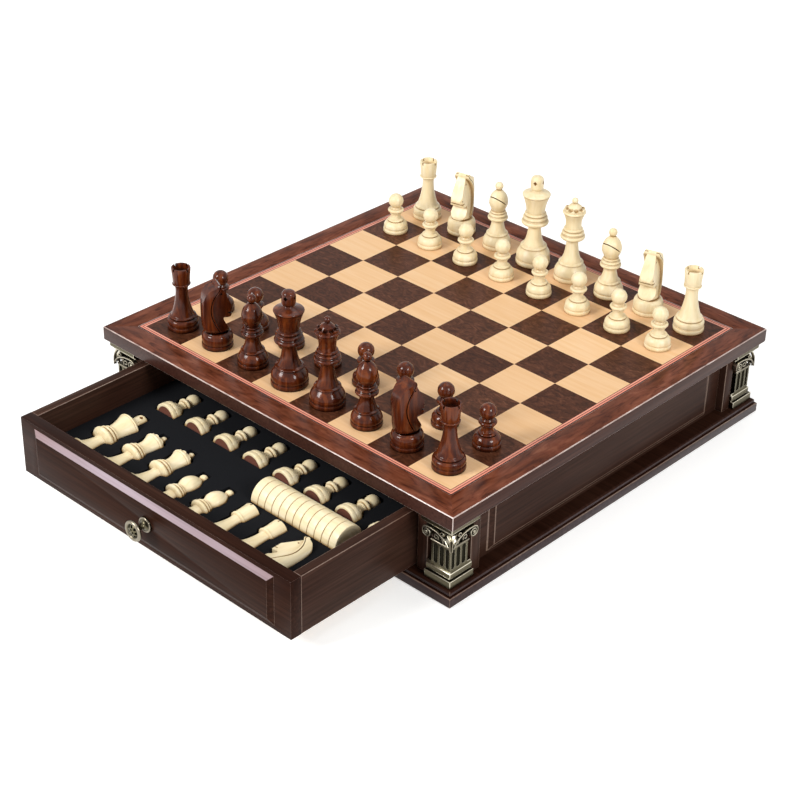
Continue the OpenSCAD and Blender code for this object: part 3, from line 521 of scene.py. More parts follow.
def planed_maple(tree):
    """Maple, planed and left bare: pale and matt, with long fine grain."""
    where = add(tree, "TexCoord").outputs["Object"]
    long = add(tree, "Mapping", {"Vector": where, "Scale": per_mm(3, 120, 3)})
    grain = add(tree, "TexNoise", {"Vector": long, "Scale": 1.0, "Detail": 5.0, "Roughness": 0.6,
                                   "Distortion": 0.4})
    tone = add(tree, "ValToRGB", {"Fac": grain}, [(0.3, "#c9a06a"), (0.7, "#e0bd88")])
    raised = add(tree, "Bump", {"Height": grain, "Distance": mm(0.05), "Strength": 0.3})
    return {"Base Color": tone, "Roughness": 0.6, "Normal": raised}


# The stain of the rails and drawer fronts, and a copy of it painted paler as light on posts and
# panels
ESPRESSO = [(0.3, "#24130c"), (0.5, "#2f1b13"), (0.72, "#3b241a")]
PALER = [(0.3, "#2e1f18"), (0.5, "#3d2a22"), (0.72, "#4a342b")]
# Stained beech by the axis that its grain runs along
BEECH = {axis: surfaced("stained_beech_" + axis, stained_beech, along=axis, stops=stops, gloss=gloss)
         for axis, stops, gloss in (("X", ESPRESSO, 0.03), ("Y", PALER, 0.05), ("Z", PALER, 0.05))}
# Painted highlight: a far paler copy of the stain for the rounded arrises of the case and drawers
ARRIS_HIGHLIGHT = surfaced("beech_arris_painted_highlight", stained_beech, along="X",
                  stops=[(0.3, "#695548"), (0.5, "#7d685a"), (0.72, "#917b6c")], gloss=0.4)
# Painted sheen: a greyer, paler copy of the stain for the upright faces of the base moulding
UPRIGHT_SHEEN = surfaced("beech_upright_painted_sheen", stained_beech, along="X",
                 stops=[(0.3, "#342a2b"), (0.5, "#433738"), (0.72, "#504445")], gloss=0.15)
# Painted reflection: a pale lavender grey for the top slopes of the drawers' raised fields
SLOPE_REFLECTION = surfaced("beech_slope_painted_reflection", stained_beech, along="X",
                    stops=[(0.3, "#93828a"), (0.5, "#a08f98"), (0.72, "#ad9da6")], gloss=0.5)
EDGE = surfaced("stained_beech_edge", stained_beech, along="Y",
                stops=[(0.3, "#35201a"), (0.5, "#432a23"), (0.72, "#51352c")], gloss=0.12)
BURL = surfaced("walnut_burl_veneer", walnut_burl, gloss=0.07,
                stops=[(0.3, "#482419"), (0.45, "#653724"), (0.58, "#73402d"), (0.74, "#8b563f")])
# Painted highlight: a pale burl for the rounded top arris of the border
BURL_ARRIS_HIGHLIGHT = surfaced("burl_arris_painted_highlight", walnut_burl, gloss=0.8,
                      stops=[(0.3, "#b5a39c"), (0.7, "#cdbdb6")])
DARK_VENEER = surfaced("dark_burl_veneer", dark_burl)
LIGHT_VENEER = surfaced("maple_veneer", maple)
STRINGING = surfaced("dyed_stringing", dyed_lines)
# Each groove colour is painted shade, laid into the grooves and undercuts of the men
ROSEWOOD = surfaced("stained_rosewood", turned_wood, groove="#120300", reach=5.0, roughness=0.17,
                    stops=[(0.3, "#331108"), (0.5, "#4f200c"), (0.72, "#763917")])
# Painted highlight: a paler rosewood for the rounded arrises of the dark men
ROSEWOOD_ARRIS_HIGHLIGHT = surfaced("rosewood_arris_painted_highlight", turned_wood, groove="#1c0804", reach=5.0,
                         roughness=0.2, stops=[(0.3, "#8f5f45"), (0.72, "#b98a6e")])
# Boxwood's tan groove colour is painted shade as well
BOXWOOD = surfaced("boxwood", turned_wood, groove="#a8804a", reach=3.4, roughness=0.3,
                   stops=[(0.3, "#e6d3a6"), (0.5, "#eddcb4"), (0.72, "#f3e5c4")])
# The wood of each colour's men, and that of their arrises, painted paler on the dark men as highlight
WOODS = {"dark": (ROSEWOOD, ROSEWOOD_ARRIS_HIGHLIGHT), "light": (BOXWOOD, BOXWOOD)}
PEWTER = surfaced("antique_pewter", pewter,
                  stops=[(0.4, "#0e0d0a"), (0.66, "#3f3b2e"), (0.92, "#5f5946")])
BLACK_PEWTER = surfaced("blackened_pewter", pewter,
                        stops=[(0.45, "#070605"), (0.75, "#14120d"), (0.95, "#2b281f")])
WORN_PEWTER = surfaced("worn_pewter", pewter,
                       stops=[(0.4, "#12100c"), (0.66, "#554f42"), (0.92, "#877f6f")])
# Painted highlight: a much paler pewter for arrises and up-facing faces of the columns
PEWTER_HIGHLIGHT = surfaced("pewter_painted_highlight", pewter,
                         stops=[(0.35, "#3a372c"), (0.6, "#9a927a"), (0.9, "#d8d1bd")])
FOAM = surfaced("flocked_foam", pile, size=0.7, dark="#0d0e10", light="#15161a", lift=0.4,
                gloss=0.05, sheen=0.03)
FELT = surfaced("brown_felt", pile, size=0.6, dark="#5a3023", light="#774635", lift=0.6,
                gloss=0.2, sheen=0.1)
BAIZE = surfaced("green_baize", pile, size=0.6, dark="#16301f", light="#27503a", lift=0.6,
                 gloss=0.2, sheen=0.2)
MAPLE = surfaced("planed_maple", planed_maple)


# ---------------------------------------------------------------- men

def foot(kind, z):
    """The upright edge of a man's base, rounded at top and bottom."""
    r = BASE_RADIUS[kind]
    return [(r - 0.6, 0.0), (r - 0.15, 0.15), (r, 0.6),
            (r, z - 0.6), (r - 0.2, z - 0.15), (r - 0.7, z)]


def under(r):
    """The underside, from the axis out: a shallow hollow for the felt."""
    return [(0, FELT_T), (r - FELT_RIM, FELT_T), (r - FELT_RIM, 0.0)]


# Each kind's outline on the lathe, radius and height, from the foot up to the axis
OUTLINES = {
    "king": foot("king", 4.2)
    + smooth([(14.0, 4.6), (14.5, 6.6), (14.0, 10.0), (12.2, 13.2), (10.8, 14.8)])
    + bead(11.4, 15.0, 16.8)
    + smooth([(9.2, 17.4), (7.0, 23), (5.9, 29), (5.5, 33.5), (6.2, 36.0)])
    + bead(11.7, 36.8, 40.8, 10) + bead(10.6, 41.6, 44.2) + bead(9.4, 45.0, 47.2)
    + smooth([(7.9, 47.6), (8.4, 52), (9.5, 57), (11.5, 62.6)])
    + bead(12.0, 62.8, 64.8, 6)
    + smooth([(9.8, 65.3), (6.4, 66.5), (4.6, 67.6), (4.5, 68.6)], 3) + [(5.3, 69.4)]
    + smooth([(5.5, 70.6), (5.5, 76.2), (4.9, 78.7), (3.2, 80.1), (0, 80.5)]),
    "queen": foot("queen", 4.2)
    + smooth([(13.3, 4.6), (13.8, 6.4), (13.2, 9.6), (11.4, 12.6), (10.0, 14.4)])
    + bead(10.6, 14.6, 16.2)
    + smooth([(8.7, 16.8), (6.6, 22.5), (5.5, 29), (5.1, 34.5), (5.8, 37.2)])
    + bead(10.5, 37.6, 41.4, 10) + bead(9.5, 42.1, 44.5) + bead(8.3, 45.2, 47.2)
    + smooth([(6.9, 47.6), (6.7, 52), (7.3, 56), (9.0, 60.4)])
    + bead(9.8, 60.6, 63.0, 6) + [(8.8, 64.8), (7.6, 65.1)]
    + smooth([(7.0, 64.2), (6.0, 66.0), (4.2, 68.0), (2.3, 69.3)])
    + arc(0, 71.8, 2.7, -50, 90, 12),
    "bishop": foot("bishop", 3.7)
    + smooth([(11.7, 4.1), (12.1, 5.8), (11.5, 8.4), (10.0, 11.0), (8.9, 12.2)])
    + bead(9.5, 12.4, 13.8)
    + smooth([(7.8, 14.4), (6.2, 19), (5.4, 23.5), (5.7, 26.2)])
    + bead(8.9, 26.6, 29.6, 10) + bead(8.0, 30.3, 32.3) + bead(6.8, 33.0, 34.6)
    + smooth([(5.4, 34.9), (6.6, 37.4), (8.1, 41), (8.1, 45), (6.6, 49.4), (4.0, 52.6), (2.4, 54.0)])
    + arc(0, 57.4, 3.6, -66, 90, 14),
    "rook": foot("rook", 3.8)
    + smooth([(11.9, 4.2), (12.5, 6.2), (12.2, 8.6), (11.0, 9.8)]) + bead(10.9, 10.0, 12.0, 6)
    + smooth([(9.4, 12.4), (8.2, 15.4), (6.5, 21.4), (5.4, 28), (5.0, 34.5), (5.5, 38.4)])
    + bead(7.4, 38.8, 40.4, 6)
    + [(6.9, 40.8), (7.1, 46.0), (7.8, 53.2), (7.5, 54.0)]
    + [(6.5, 54.0), (6.3, 53.6), (5.7, 49.0), (0, 48.6)],
    "pawn": foot("pawn", 3.5)
    + smooth([(10.0, 3.8), (10.4, 5.2), (10.0, 7.4), (8.8, 9.2), (7.6, 10.2)])
    + bead(7.0, 10.4, 12.2, 6)
    + smooth([(5.0, 12.6), (4.4, 14.6), (4.3, 16.8)], 3)
    + bead(5.4, 17.0, 18.8, 6) + bead(7.0, 19.0, 21.8) + [(4.6, 22.0), (4.2, 22.6)]
    + arc(0, 29, 6.5, -56, 90, 20),
    "knight": foot("knight", 3.8)
    + smooth([(11.9, 4.0), (12.4, 6.2), (12.3, 9.2), (11.4, 11.8), (10.0, 13.1), (8.6, 13.6),
              (0, 13.9)]),
}


def king_cuts():
    """Notches round the finial, which leave four rounded points."""
    return [block((7, 2.6, 2.6), at, (45, 0, a)) for at, a in ring_of(4, 7.2, 75.4, 20)]


def queen_cuts():
    """Scallops round the rim of the coronet."""
    return [rod(1.9, 6, at, (0, 90, a)) for at, a in ring_of(9, 8.6, 65.6, 20)]


def bishop_cuts():
    """The slanting slot in the front of the mitre."""
    return [block((30, 12, 0.85), (0, 4.8, 46.5), (42, 0, 0))]


def rook_cuts():
    """Battlements: two slots that cross the rim."""
    return [block((30, 1.5, 3.0), (0, 0, 53.4)), block((1.5, 30, 3.0), (0, 0, 53.4))]


CUTS = {"king": king_cuts, "queen": queen_cuts, "bishop": bishop_cuts, "rook": rook_cuts}

# The knight's head, facing +Y, seen from its side as distance forward and height, in mm
KNIGHT_SIDE = (
    smooth([(-9.6, 13.0), (-11.2, 18), (-11.9, 26), (-12.0, 36), (-11.3, 43), (-9.6, 48),
            (-6.4, 51.6)], 3)
    + [(-3.4, 53.0), (-1.6, 53.4), (-0.6, 55.2), (1.2, 56.0), (2.7, 54.8), (3.2, 52.6)]
    + smooth([(4.2, 51.0), (6.8, 45.5), (9.4, 39.6), (12.0, 34.2), (12.5, 32.2), (11.4, 30.9)], 3)
    + [(7.4, 31.2), (7.2, 30.4), (10.6, 29.8)]
    + smooth([(10.6, 28.8), (9.4, 27.4), (6.2, 27.2), (4.0, 27.4), (3.6, 25.4), (6.0, 20.6),
              (8.6, 15.6), (8.8, 13.2)], 3)
)
# The curve that bounds the planed cheek, bowed towards the mane, and the corners before the face
KNIGHT_CHEEK = smooth([(4.4, 58), (2.6, 52.4), (-0.9, 48.4), (-3.9, 43), (-5.3, 36.5), (-4.9, 30),
                       (-2.9, 23.6), (-0.1, 18), (3.1, 12.8)], 4)
BEFORE_FACE = [(20, 12.8), (20, 58)]
# The groove behind that curve, as the distances of its two sides from it, and its depth
GROOVE_BACK, GROOVE_FRONT, GROOVE_DEPTH = 1.8, 1.0, 0.2
# Half the head's thickness at the cheeks, at that height, and how the cheeks lean above it
CHEEK_HALF, CHEEK_FOOT, CHEEK_LEAN = 8.2, 14, 0.11
# Height, middle and half sizes, forward and across, of the round blank that the head is cut from
KNIGHT_BLANK = [(12.6, 0.0, 11.0, 8.4), (18, -0.2, 12.2, 9.0), (26, 0.0, 13.0, 9.3),
                (34, 0.4, 13.4, 9.2), (42, 0.2, 13.2, 8.9), (48, 0.0, 12.8, 8.4),
                (53, -0.2, 12.0, 7.4), (58, -0.4, 9.0, 5.6)]
# How far each knight on the board is turned by hand, in degrees
KNIGHT_TURNS = {"dark_knight_1": -24, "dark_knight_2": -10,
                "light_knight_1": 12, "light_knight_2": 16}


def cheek_cutter(side, outline, sunk):
    """What is planed off one cheek inside an outline, down to a plane that leans inwards."""
    depth = 30
    cutter = prism("cheek", outline, depth, SIDEWAYS @ moved(0, 0, 0 if side > 0 else -depth))
    edit(cutter)
    bpy.ops.mesh.bisect(plane_co=mm((side * (CHEEK_HALF - sunk), 0, CHEEK_FOOT)),
                        plane_no=(side, 0, CHEEK_LEAN), use_fill=True, clear_inner=True)
    return end(cutter)


def knight_head():
    """A round blank sawn to the side outline, its cheeks planed behind a fine groove, its eyes
    and nostrils drilled."""
    head = begin("circle", "knight_head", vertices=48, radius=1, fill_type="NGON")
    z, y, forward, across = KNIGHT_BLANK[0]
    bpy.ops.transform.resize(value=mm((across, forward, 1000)))
    bpy.ops.transform.translate(value=mm((0, y, z)))
    for low, high in zip(KNIGHT_BLANK, KNIGHT_BLANK[1:]):
        pull(mm((0, high[1] - low[1], high[0] - low[0])))
        bpy.ops.transform.resize(value=(high[3] / low[3], high[2] / low[2], 1),
                                 center_override=mm((0, high[1], high[0])))
    bpy.ops.mesh.select_all(action="SELECT")
    bpy.ops.mesh.normals_make_consistent(inside=False)
    end(head)
    modify(head, "SUBSURF", levels=2, render_levels=2)
    width = 40
    sawn = prism("side", KNIGHT_SIDE, width, SIDEWAYS @ moved(0, 0, -width / 2))
    cut(head, sawn, operation="INTERSECT")
    cheek = KNIGHT_CHEEK + BEFORE_FACE
    groove = ([(y - GROOVE_BACK, z) for y, z in KNIGHT_CHEEK]
              + [(y - GROOVE_FRONT, z) for y, z in reversed(KNIGHT_CHEEK)])
    cut(head, *[cheek_cutter(s, shape, sunk) for s in (-1, 1)
                for shape, sunk in ((groove, GROOVE_DEPTH), (cheek, 0.0))])
    eyes = [rod(0.8, 4, (s * 5.6, 3.0, 47.0), (0, 90, 0)) for s in (-1, 1)]
    nostrils = [rod(0.55, 3, (s * 6.0, 10.2, 33.8), (0, 90, 0)) for s in (-1, 1)]
    return cut(head, *eyes, *nostrils)


def make_man(kind):
    """One man of a kind, standing on the origin: the wood, and the felt under it."""
    r = BASE_RADIUS[kind]
    man = turned(kind, under(r) + OUTLINES[kind])
    if kind in CUTS:
        cut(man, *CUTS[kind]())
    if kind == "knight":
        cut(man, knight_head(), operation="UNION")
    finish_in(man, BOXWOOD, BOXWOOD)
    # The arrises take the second wood, which on the dark men is a paler painted highlight
    soften(man, 0.25, angle=42, material=1)
    pad_r, pad_t = r - FELT_RIM - FELT_PLAY, FELT_T - FELT_PLAY
    pad_edge = [(0, 0), (pad_r - 0.1, 0), (pad_r, 0.1), (pad_r, pad_t), (0, pad_t)]
    pad = turned(kind + "_felt", pad_edge, steps=48)
    pad.data.materials.append(FELT)
    return join(kind, man, pad)


def make_draught():
    """A draught: eased rim and a shallow dish on each face."""
    r, t = DRAUGHT_D / 2, DRAUGHT_T - 0.1
    outline = ([(0, 0.5), (r - 4.2, 0.5), (r - 3.9, 0.35), (r - 3.4, 0)]
               + arc(r - 0.8, 0.8, 0.8, -90, 0, 4) + arc(r - 0.8, t - 0.8, 0.8, 0, 90, 4)
               + [(r - 3.4, t), (r - 3.9, t - 0.35), (r - 4.2, t - 0.5), (0, t - 0.5)])
    made = turned("draught", outline)
    finish_in(made, BOXWOOD, BOXWOOD)
    return made


def copy_of(master, name, matrix, seed, woods):
    """A copy of a man or draught in its two woods, with a stretch of grain of its own."""
    made = copied(master, name)
    own = made.data.attributes.new("grain", "FLOAT_VECTOR", "POINT")
    shift = Vector([step * seed for step in GRAIN_STEP])
    own.data.foreach_set("vector", [c for v in made.data.vertices for c in v.co + shift])
    made.data.transform(matrix)
    made.data.materials[0], made.data.materials[1] = woods
    return made


masters = {kind: make_man(kind) for kind in BASE_RADIUS}
masters["draught"] = make_draught()
BACK_RANK = ["rook_1", "knight_1", "bishop_1", "king", "queen", "bishop_2", "knight_2", "rook_2"]
ARMY = BACK_RANK + [f"pawn_{i + 1}" for i in range(PAWNS)]
seed = 0
for shade in ("dark", "light"):
    for node in [f"{shade}_{man}" for man in ARMY]:
        seed += 1
        low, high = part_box(node)
        stand = Matrix.Translation(((low.x + high.x) / 2, (low.y + high.y) / 2, BOARD_TOP))
        by_hand = swung("Z", KNIGHT_TURNS.get(node, 0))
        matrix = stand @ by_hand @ (HALF_TURN if shade == "light" else HERE)
        piece = copy_of(masters[node.split("_")[1]], node + "_man", matrix, seed, WOODS[shade])
        put(piece, node, shade + "_man", node)


# ---------------------------------------------------------------- drawers

def lie(kind):
    """Lays a man on its back with its head inwards; a knight lies on its side."""
    return swung("X", -90) @ swung("Z", 90 if kind == "knight" else 0)


for drawer, shade in (("front", "light"), ("back", "dark")):
    body, woods = drawer + "_drawer", WOODS[shade]
    inwards = HERE if drawer == "front" else HALF_TURN
    men_node, draughts_node = f"stored_{shade}_men", f"stored_{shade}_draughts"
    # The row's own box, seen from the drawer's front: the king's base is at its near left corner
    corners = [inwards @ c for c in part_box(men_node)]
    near = Vector([min(a, b) for a, b in zip(*corners)]) * 1000
    far = Vector([max(a, b) for a, b in zip(*corners)]) * 1000
    axis_z = near.z + BASE_RADIUS["king"]
    places, x = [], near.x
    for i, kind in enumerate(STORED_ROW):
        places.append((kind, f"{kind}_{i + 1}", x + BASE_RADIUS[kind], near.y))
        x += 2 * BASE_RADIUS[kind] + MAN_GAP
    for i in range(PAWNS):
        x = far.x - BASE_RADIUS["pawn"] - (PAWNS - 1 - i) * PAWN_PITCH
        places.append(("pawn", f"pawn_{i + 1}", x, far.y - PAWN_HEIGHT))
    for kind, name, x, y in places:
        seed += 1
        matrix = inwards @ moved(x, y, axis_z) @ lie(kind)
        man = copy_of(masters[kind], f"stored_{shade}_{name}", matrix, seed, woods)
        put(man, body, shade + "_man", men_node)
    low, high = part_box(draughts_node)
    pitch = (high.x - low.x - mm(DRAUGHT_T)) / (DRAUGHTS - 1)
    on_edge = swung("Y", 90)
    for i in range(DRAUGHTS):
        at = Matrix.Translation((low.x + i * pitch, (low.y + high.y) / 2, (low.z + high.z) / 2))
        seed += 1
        name = f"stored_{shade}_draught_{i + 1}"
        draught = copy_of(masters["draught"], name, at @ on_edge, seed, woods)
        put(draught, body, shade + "_man", draughts_node)


def on_a_rim(face):
    """The second material for a knob's rim and the rim of its rosette, which stand out and wear."""
    out, z = math.hypot(face.center.x, face.center.y) * 1000, face.center.z * 1000
    return 1 if (z > 11 and out > 5.6) or (z < 2.2 and out > 4.6) else 0


def make_knob(drawer):
    """A cast knob: rosette, slim neck, and a round rim about a pierced flower."""
    outline = ([(0, 0), (6.2, 0), (6.2, 0.7)] + arc(5.3, 1.1, 0.9, 0, 90, 4) + [(4.7, 1.6)]
               + smooth([(3.9, 1.9), (2.4, 3.2), (2.1, 6.8), (3.4, 9.6)], 4)
               + [(6.2, 10.6)] + arc(6.9, 11.9, 1.5, -70, 115, 10) + [(5.7, 12.6)]
               + smooth([(5.2, 12.3), (4.0, 13.2), (2.0, 13.9), (0, 14.2)], 4))
    knob = turned("knob", outline)
    finish_in(knob, PEWTER, WORN_PEWTER, pick=on_a_rim)
    cut(knob, *[rod(0.95, 4, at) for at, _ in ring_of(8, 4.1, 13.2)],
        *[rod(0.75, 3, at) for at, _ in ring_of(4, 1.8, 14.0)])
    soften(knob, 0.12, angle=50)
    low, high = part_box(drawer + "_drawer_knob")
    front = drawer == "front"
    y = low.y + mm(KNOB_REACH) if front else high.y - mm(KNOB_REACH)
    at = Matrix.Translation((0, y, (low.z + high.z) / 2))
    knob.data.transform(at @ swung("X", 90 if front else -90))
    knob.name = knob.data.name = drawer + "_knob_casting"
    return put(knob, drawer + "_drawer", "antique_metal", drawer + "_drawer_knob")


def slopes_up(face):
    """The third material for the top slope of a raised field: a painted reflection of the light."""
    return 2 if 0.15 < face.normal.z < LEVEL else 0


for drawer in ("front", "back"):
    make_knob(drawer)
    body = drawer + "_drawer"
    # The front's arrises get the painted highlight, its upper slopes the painted reflection
    worked(body + "_front", body, "case_wood", (BEECH["X"], ARRIS_HIGHLIGHT, SLOPE_REFLECTION), body + "_face",
           slopes_up)
    worked(body + "_sides", body, "case_wood", (BEECH["Y"], ARRIS_HIGHLIGHT), body + "_box")


# ---------------------------------------------------------------- corner columns

COLUMN_LOW, COLUMN_HIGH = [v * 1000 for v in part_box("corner_columns")]
# Faces of the plinth and shaft, the casting's back and the ends of its legs, from the middle of
# the box. The cap of the capital stands out past the plinth.
COLUMN_FACE = COLUMN_HIGH.x - 1.4
SHAFT_FACE, COLUMN_BACK = COLUMN_FACE - 2.8, COLUMN_FACE - 8
PLINTH_END, SHAFT_END = COLUMN_FACE - 25, COLUMN_FACE - 21
# Heights: the top of the plinth and the foot of the capital
PLINTH_TOP, CAPITAL_FOOT = COLUMN_LOW.z + 12.9, COLUMN_HIGH.z - 22.8


def both_legs(*pieces):
    """Pieces on the leg along X, and their mirror images on the other."""
    return [*pieces, *[copied(piece, piece.name + "_across", ACROSS) for piece in pieces]]


def casting_legs(name, profile, ends, corner):
    """A moulding along both legs of a corner, mitred. Its profile is distance out and height, and
    it runs from the ends of the legs to the corner."""
    leg = prism(name, profile, corner - ends, moved(ends, 0, 0) @ SIDEWAYS)
    edit(leg)
    bpy.ops.mesh.bisect(plane_co=(0, 0, 0), plane_no=(1, -1, 0), clear_outer=True)
    end(leg)
    both = join(name, *both_legs(leg))
    edit(both)
    bpy.ops.mesh.remove_doubles(threshold=2e-6)
    return end(both)


def ridge(name, points, out, rise, thick):
    """A raised band that follows a line drawn on a face as distance along it and height."""
    made = begin("plane", name, size=0.001)
    draw([mm((x, out, z)) for x, z in points])
    bpy.ops.mesh.select_all(action="SELECT")
    pull(mm((0, rise, 0)))
    end(made)
    modify(made, "SOLIDIFY", thickness=mm(thick), offset=0)
    edit(made)
    bpy.ops.mesh.normals_make_consistent(inside=False)
    end(made)
    return soften(made, thick * 0.3, angle=50)


def acanthus(name, length, half, lobes):
    """A lobed leaf standing along +Z with its back at y = 0, ribbed, its tip rolled over."""
    edge, steps, thick = [], 6 * lobes, 1.3
    for i in range(steps + 1):
        t = i / steps
        swell = 0.35 + 0.65 * math.sin(math.pi * (t * 0.8 + 0.1))
        lobed = 0.72 + 0.28 * abs(math.sin(math.pi * lobes * t))
        edge.append((half * swell * lobed, length * t))
    edge += [(-x, z) for x, z in reversed(edge)]
    blade = prism(name, edge, thick, moved(0, thick, 0) @ UPRIGHT)
    soften(blade, 0.35, angle=60)
    ribs = []
    for x in (-half * 0.55, 0, half * 0.55):
        line = [(x * 0.15, 0.6), (x * 0.5, length * 0.55), (x, length * 0.9)]
        ribs.append(ridge(name + "_rib", line, out=1.1, rise=0.9, thick=0.7))
    roll = pin(1.3, half * 1.5, (0, 1.4, length), (0, 90, 0))
    return join(name, blade, *ribs, roll)


def make_capital():
    """The capital's carving on both legs: volute and its eye, two curls, leaf, the prong at the
    corner and the drop under it."""
    f, z, end_x = COLUMN_FACE, CAPITAL_FOOT, PLINTH_END
    cx, cz = end_x + 1.6, z + 8.2
    stem = smooth([(cx + 21.0, z + 3.4), (cx + 17.0, z + 8.4), (cx + 10.5, z + 11.6),
                   (cx + 4.0, z + 12.8)], 4)
    coil = spiral(cx, cz, 4.5, 1.4, 90, 680, 28)
    scroll = ridge("volute", stem + coil, f - 3.6, 4.4, 1.1)
    eye = pin(1.2, 5.0, (cx, f - 1.4, cz), (90, 0, 0))
    coil = spiral(end_x + 9.6, z + 6.8, 2.5, 0.9, -40, 330, 16)
    curl = ridge("curl", coil, f - 4.6, 4.2, 0.9)
    coil = spiral(end_x + 16.2, z + 12.0, 1.9, 0.7, 200, -140, 14)
    inner = ridge("curl", coil, f - 4.2, 4.4, 0.8)
    leaf = acanthus("leaf", 6.6, 2.2, 3)
    leaf.data.transform(moved(end_x + 14.8, f - 4.8, z + 1.6) @ swung("X", -10))
    spine = smooth([(f - 1.2, z + 0.6), (f - 1.3, z + 6.0), (f - 2.2, z + 10.0),
                    (f - 4.6, z + 13.8)], 4)
    prong = ridge("prong", spine, f - 2.4, 2.8, 0.9)
    drop = pin(0.95, 2.4, (f - 4.6, f - 2.2, z + 3.8), (90, 0, 0))
    return both_legs(scroll, eye, curl, inner, leaf, prong, drop)


def in_a_flute(face):
    """The third material for the flutes, behind both faces of the shaft, which patina fills."""
    return 2 if max(face.center.x, face.center.y) * 1000 < SHAFT_FACE - 0.25 else 0


def looks_up(face):
    """The second material for what looks up: a paler pewter, painted as light from above."""
    return 1 if face.normal.z > 0.3 else 0


def make_column():
    """One L-shaped casting at the (+X, +Y) corner: stepped plinth, fluted shaft, scrolled capital."""
    f, b, low, z = COLUMN_FACE, COLUMN_BACK, COLUMN_LOW.z, CAPITAL_FOOT
    plinth = casting_legs("plinth", [
        (b, low), (f, low), (f, low + 6.1), (f - 2.6, low + 6.1), (f - 2.6, low + 7.3),
        (f - 1.7, low + 7.3), (f - 1.7, low + 11.2), (f - 2.5, low + 11.8), (f - 3.2, PLINTH_TOP),
        (b, PLINTH_TOP)], PLINTH_END, f)
    shaft = casting_legs("shaft", [
        (b, PLINTH_TOP - 0.5), (SHAFT_FACE, PLINTH_TOP - 0.5), (SHAFT_FACE, z + 0.5),
        (b, z + 0.5)], SHAFT_END, SHAFT_FACE)
    long = z - PLINTH_TOP - 1.6
    tools = []
    for x, r in ((4.0, 2.0), (9.8, 2.0), (15.2, 1.6)):
        ends = arc(0, r, r, -70, 0, 5) + arc(0, long - r, r, 0, 70, 5)
        flute = turned("flute", [(0, 0)] + ends + [(0, long)], steps=24)
        flute.data.transform(moved(SHAFT_END + x, SHAFT_FACE + 0.2, PLINTH_TOP + 0.9))
        tools.append(flute)
    cut(shaft, *both_legs(*tools))
    hollow = smooth([(f - 4.6, z + 2), (f - 5.2, z + 6), (f - 4.6, z + 10), (f - 3.4, z + 14.4)], 3)
    bell = casting_legs("bell", [(b, z + 1.6), (f - 4.2, z + 1.6)] + hollow + [(b, z + 14.4)],
                        SHAFT_END, f - 3.4)
    ring = arc(f - 3.0, z + 0.9, 0.9, -90, 90, 6)
    astragal = casting_legs("astragal", [(b, z)] + ring + [(b, z + 1.8)], SHAFT_END - 0.8, f - 2.1)
    abacus = casting_legs("abacus", [
        (b, z + 14.2), (f - 1.6, z + 14.2), (f - 0.6, z + 15.0), (f - 0.6, z + 15.8),
        (f + 1.3, z + 17.4), (f + 1.3, z + 22.8), (b, z + 22.8)], PLINTH_END - 3.4, f + 1.3)
    for piece, metal in ((plinth, PEWTER), (shaft, PEWTER), (bell, BLACK_PEWTER),
                         (astragal, WORN_PEWTER), (abacus, PEWTER)):
        # Their rounded arrises take the paler pewter, a painted highlight
        finish_in(piece, metal, PEWTER_HIGHLIGHT, BLACK_PEWTER,
                  pick=in_a_flute if piece is shaft else None)
        soften(piece, 0.35, angle=45, material=1)
    carving = make_capital()
    # Up-facing faces of the carving take the paler pewter, painted as light from above
    for piece in carving:
        finish_in(piece, WORN_PEWTER, PEWTER_HIGHLIGHT, pick=looks_up)
    return join("column", plinth, shaft, bell, astragal, abacus, *carving)


column = make_column()
castings = [copied(column, f"casting_{i}", Matrix.Diagonal((sx, sy, 1, 1)))
            for i, (sx, sy) in enumerate(((-1, 1), (1, -1), (-1, -1)))]
put(join("corner_column_castings", column, *castings), "case", "antique_metal", "corner_columns")


# ---------------------------------------------------------------- case

def upright(face):
    """The third material for upright faces."""
    return 2 if abs(face.normal.z) < STEEP else 0


def by_slope(face):
    """Upright faces get the third material, the chamfer above them the arris's painted highlight."""
    return upright(face) or (1 if face.normal.z < LEVEL else 0)


for node, grain in (("corner_posts", "Z"), ("side_panels", "Y"), ("top_rails", "X")):
    worked(node + "_wood", "case", "case_wood", (BEECH[grain], ARRIS_HIGHLIGHT), node)
# Upright faces of the base moulding are painted greyer and paler, as sheen
worked("base_moulding_wood", "case", "case_wood", (BEECH["X"], ARRIS_HIGHLIGHT, UPRIGHT_SHEEN), "base_moulding",
       upright)
# The border's rounded arris is painted pale, a painted highlight
worked("border_wood", "case", "border_veneer", (BURL, BURL_ARRIS_HIGHLIGHT, EDGE), "board_border", by_slope)

# The nodes that keep their own shape
PLAIN = {
    "underside_baize": BAIZE, "base_panel": BEECH["X"], "drawer_divider": BEECH["X"],
    "drawer_runners": MAPLE, "board_core": BEECH["X"], "board_stringing": STRINGING,
    "dark_squares": DARK_VENEER, "light_squares": LIGHT_VENEER,
    "front_drawer_foam": FOAM, "back_drawer_foam": FOAM,
    "front_drawer_bottom": MAPLE, "back_drawer_bottom": MAPLE,
}
for node, material in PLAIN.items():
    finish_in(NODES[node], material)

for master in masters.values():
    bpy.data.objects.remove(master)


# ---------------------------------------------------------------- camera

AZIMUTH, ELEVATION, ROLL = 42.87, 31.47, 1.25
DISTANCE, TARGET = 1.6165, Vector((-0.0311, -0.0083, 0.0))
LENS_MM, SENSOR_MM = 87.0, 36.0


def direction(azimuth, elevation):
    """The unit vector towards a point round the object; azimuth 0 is the front."""
    a, e = math.radians(azimuth), math.radians(elevation)
    return Vector((math.sin(a) * math.cos(e), -math.cos(a) * math.cos(e), math.sin(e)))


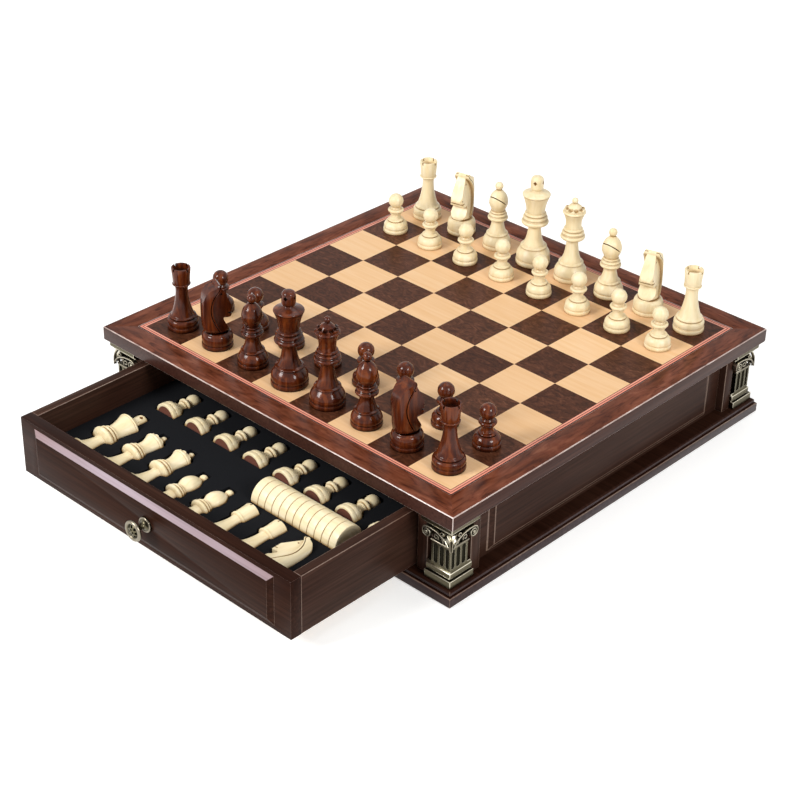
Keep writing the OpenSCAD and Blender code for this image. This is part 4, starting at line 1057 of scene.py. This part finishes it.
scene = bpy.context.scene
camera = bpy.data.objects.new("camera", bpy.data.cameras.new("camera"))
scene.collection.objects.link(camera)
scene.camera = camera
camera.data.lens, camera.data.sensor_width = LENS_MM, SENSOR_MM
back = direction(AZIMUTH, ELEVATION)
aim = (-back).to_track_quat("-Z", "Y") @ Quaternion((0, 0, 1), math.radians(ROLL))
camera.matrix_world = Matrix.Translation(TARGET + back * DISTANCE) @ aim.to_matrix().to_4x4()
camera.data.clip_start, camera.data.clip_end = 0.05, 60


# ---------------------------------------------------------------- light and floor

def softbox(name, azimuth, elevation, distance, size, power):
    """A soft light that looks at the middle of the box, its width and height in metres and its
    power in watts."""
    lamp = bpy.data.lights.new(name, "AREA")
    lamp.shape, lamp.size, lamp.size_y, lamp.energy = "RECTANGLE", *size, power
    holder = bpy.data.objects.new(name, lamp)
    scene.collection.objects.link(holder)
    towards = direction(azimuth, elevation)
    holder.matrix_world = (Matrix.Translation(towards * distance)
                           @ (-towards).to_track_quat("-Z", "Y").to_matrix().to_4x4())


softbox("key_softbox", azimuth=-20, elevation=34, distance=1.9, size=(0.62, 0.62), power=29)
softbox("side_softbox", azimuth=80, elevation=32, distance=1.9, size=(0.5, 0.55), power=17)
softbox("top_softbox", azimuth=180, elevation=72, distance=2.2, size=(1.2, 1.2), power=7)

# The strength of the light that comes from all round
WORLD_LIGHT = 0.36
# The floor's own light at two distances from the middle of the box, in metres
NEAR, FLOOR_GLOW = 1.0, 0.42
FAR, FAR_GLOW = 4.0, 0.72


def seen_directly(tree):
    """1 for a ray that shows the background: from the camera, off gloss or through glass."""
    rays = add(tree, "LightPath").outputs
    seen = add(tree, "Math", {0: rays["Is Camera Ray"], 1: rays["Is Glossy Ray"]},
               operation="MAXIMUM")
    return add(tree, "Math", {0: seen, 1: rays["Is Transmission Ray"]}, operation="MAXIMUM")


world = bpy.data.worlds.new("studio")
scene.world = world
sky = bare(world)
strength = add(sky, "MapRange", {"Value": seen_directly(sky), "To Min": WORLD_LIGHT, "To Max": 1.0})
white = add(sky, "Background", {"Color": "#ffffff", "Strength": strength})
add(sky, "OutputWorld", {"Surface": white})

# A wide pale floor that shows white but keeps the shadow of the box
floor = end(begin("circle", "floor", vertices=96, radius=12, fill_type="NGON"))
paper = bpy.data.materials.new("white_paper_floor")
tree = bare(paper)
matt = add(tree, "BsdfDiffuse", {"Color": "#f2f2f0"})
# The lamps fade away from the box, so the paper's own white makes up for them
away = add(tree, "VectorMath", {0: add(tree, "TexCoord").outputs["Object"]}, operation="LENGTH")
glow = add(tree, "MapRange", {"Value": away.outputs["Value"], "From Min": NEAR, "From Max": FAR,
                              "To Min": FLOOR_GLOW, "To Max": FAR_GLOW})
shine = add(tree, "Emission", {"Color": "#ffffff", "Strength": glow})
lit = add(tree, "AddShader", {0: matt, 1: shine})
seen_paper = add(tree, "MixShader", {0: seen_directly(tree), 1: matt, 2: lit})
add(tree, "OutputMaterial", {"Surface": seen_paper})
floor.data.materials.append(paper)

scene.view_settings.view_transform = "Standard"
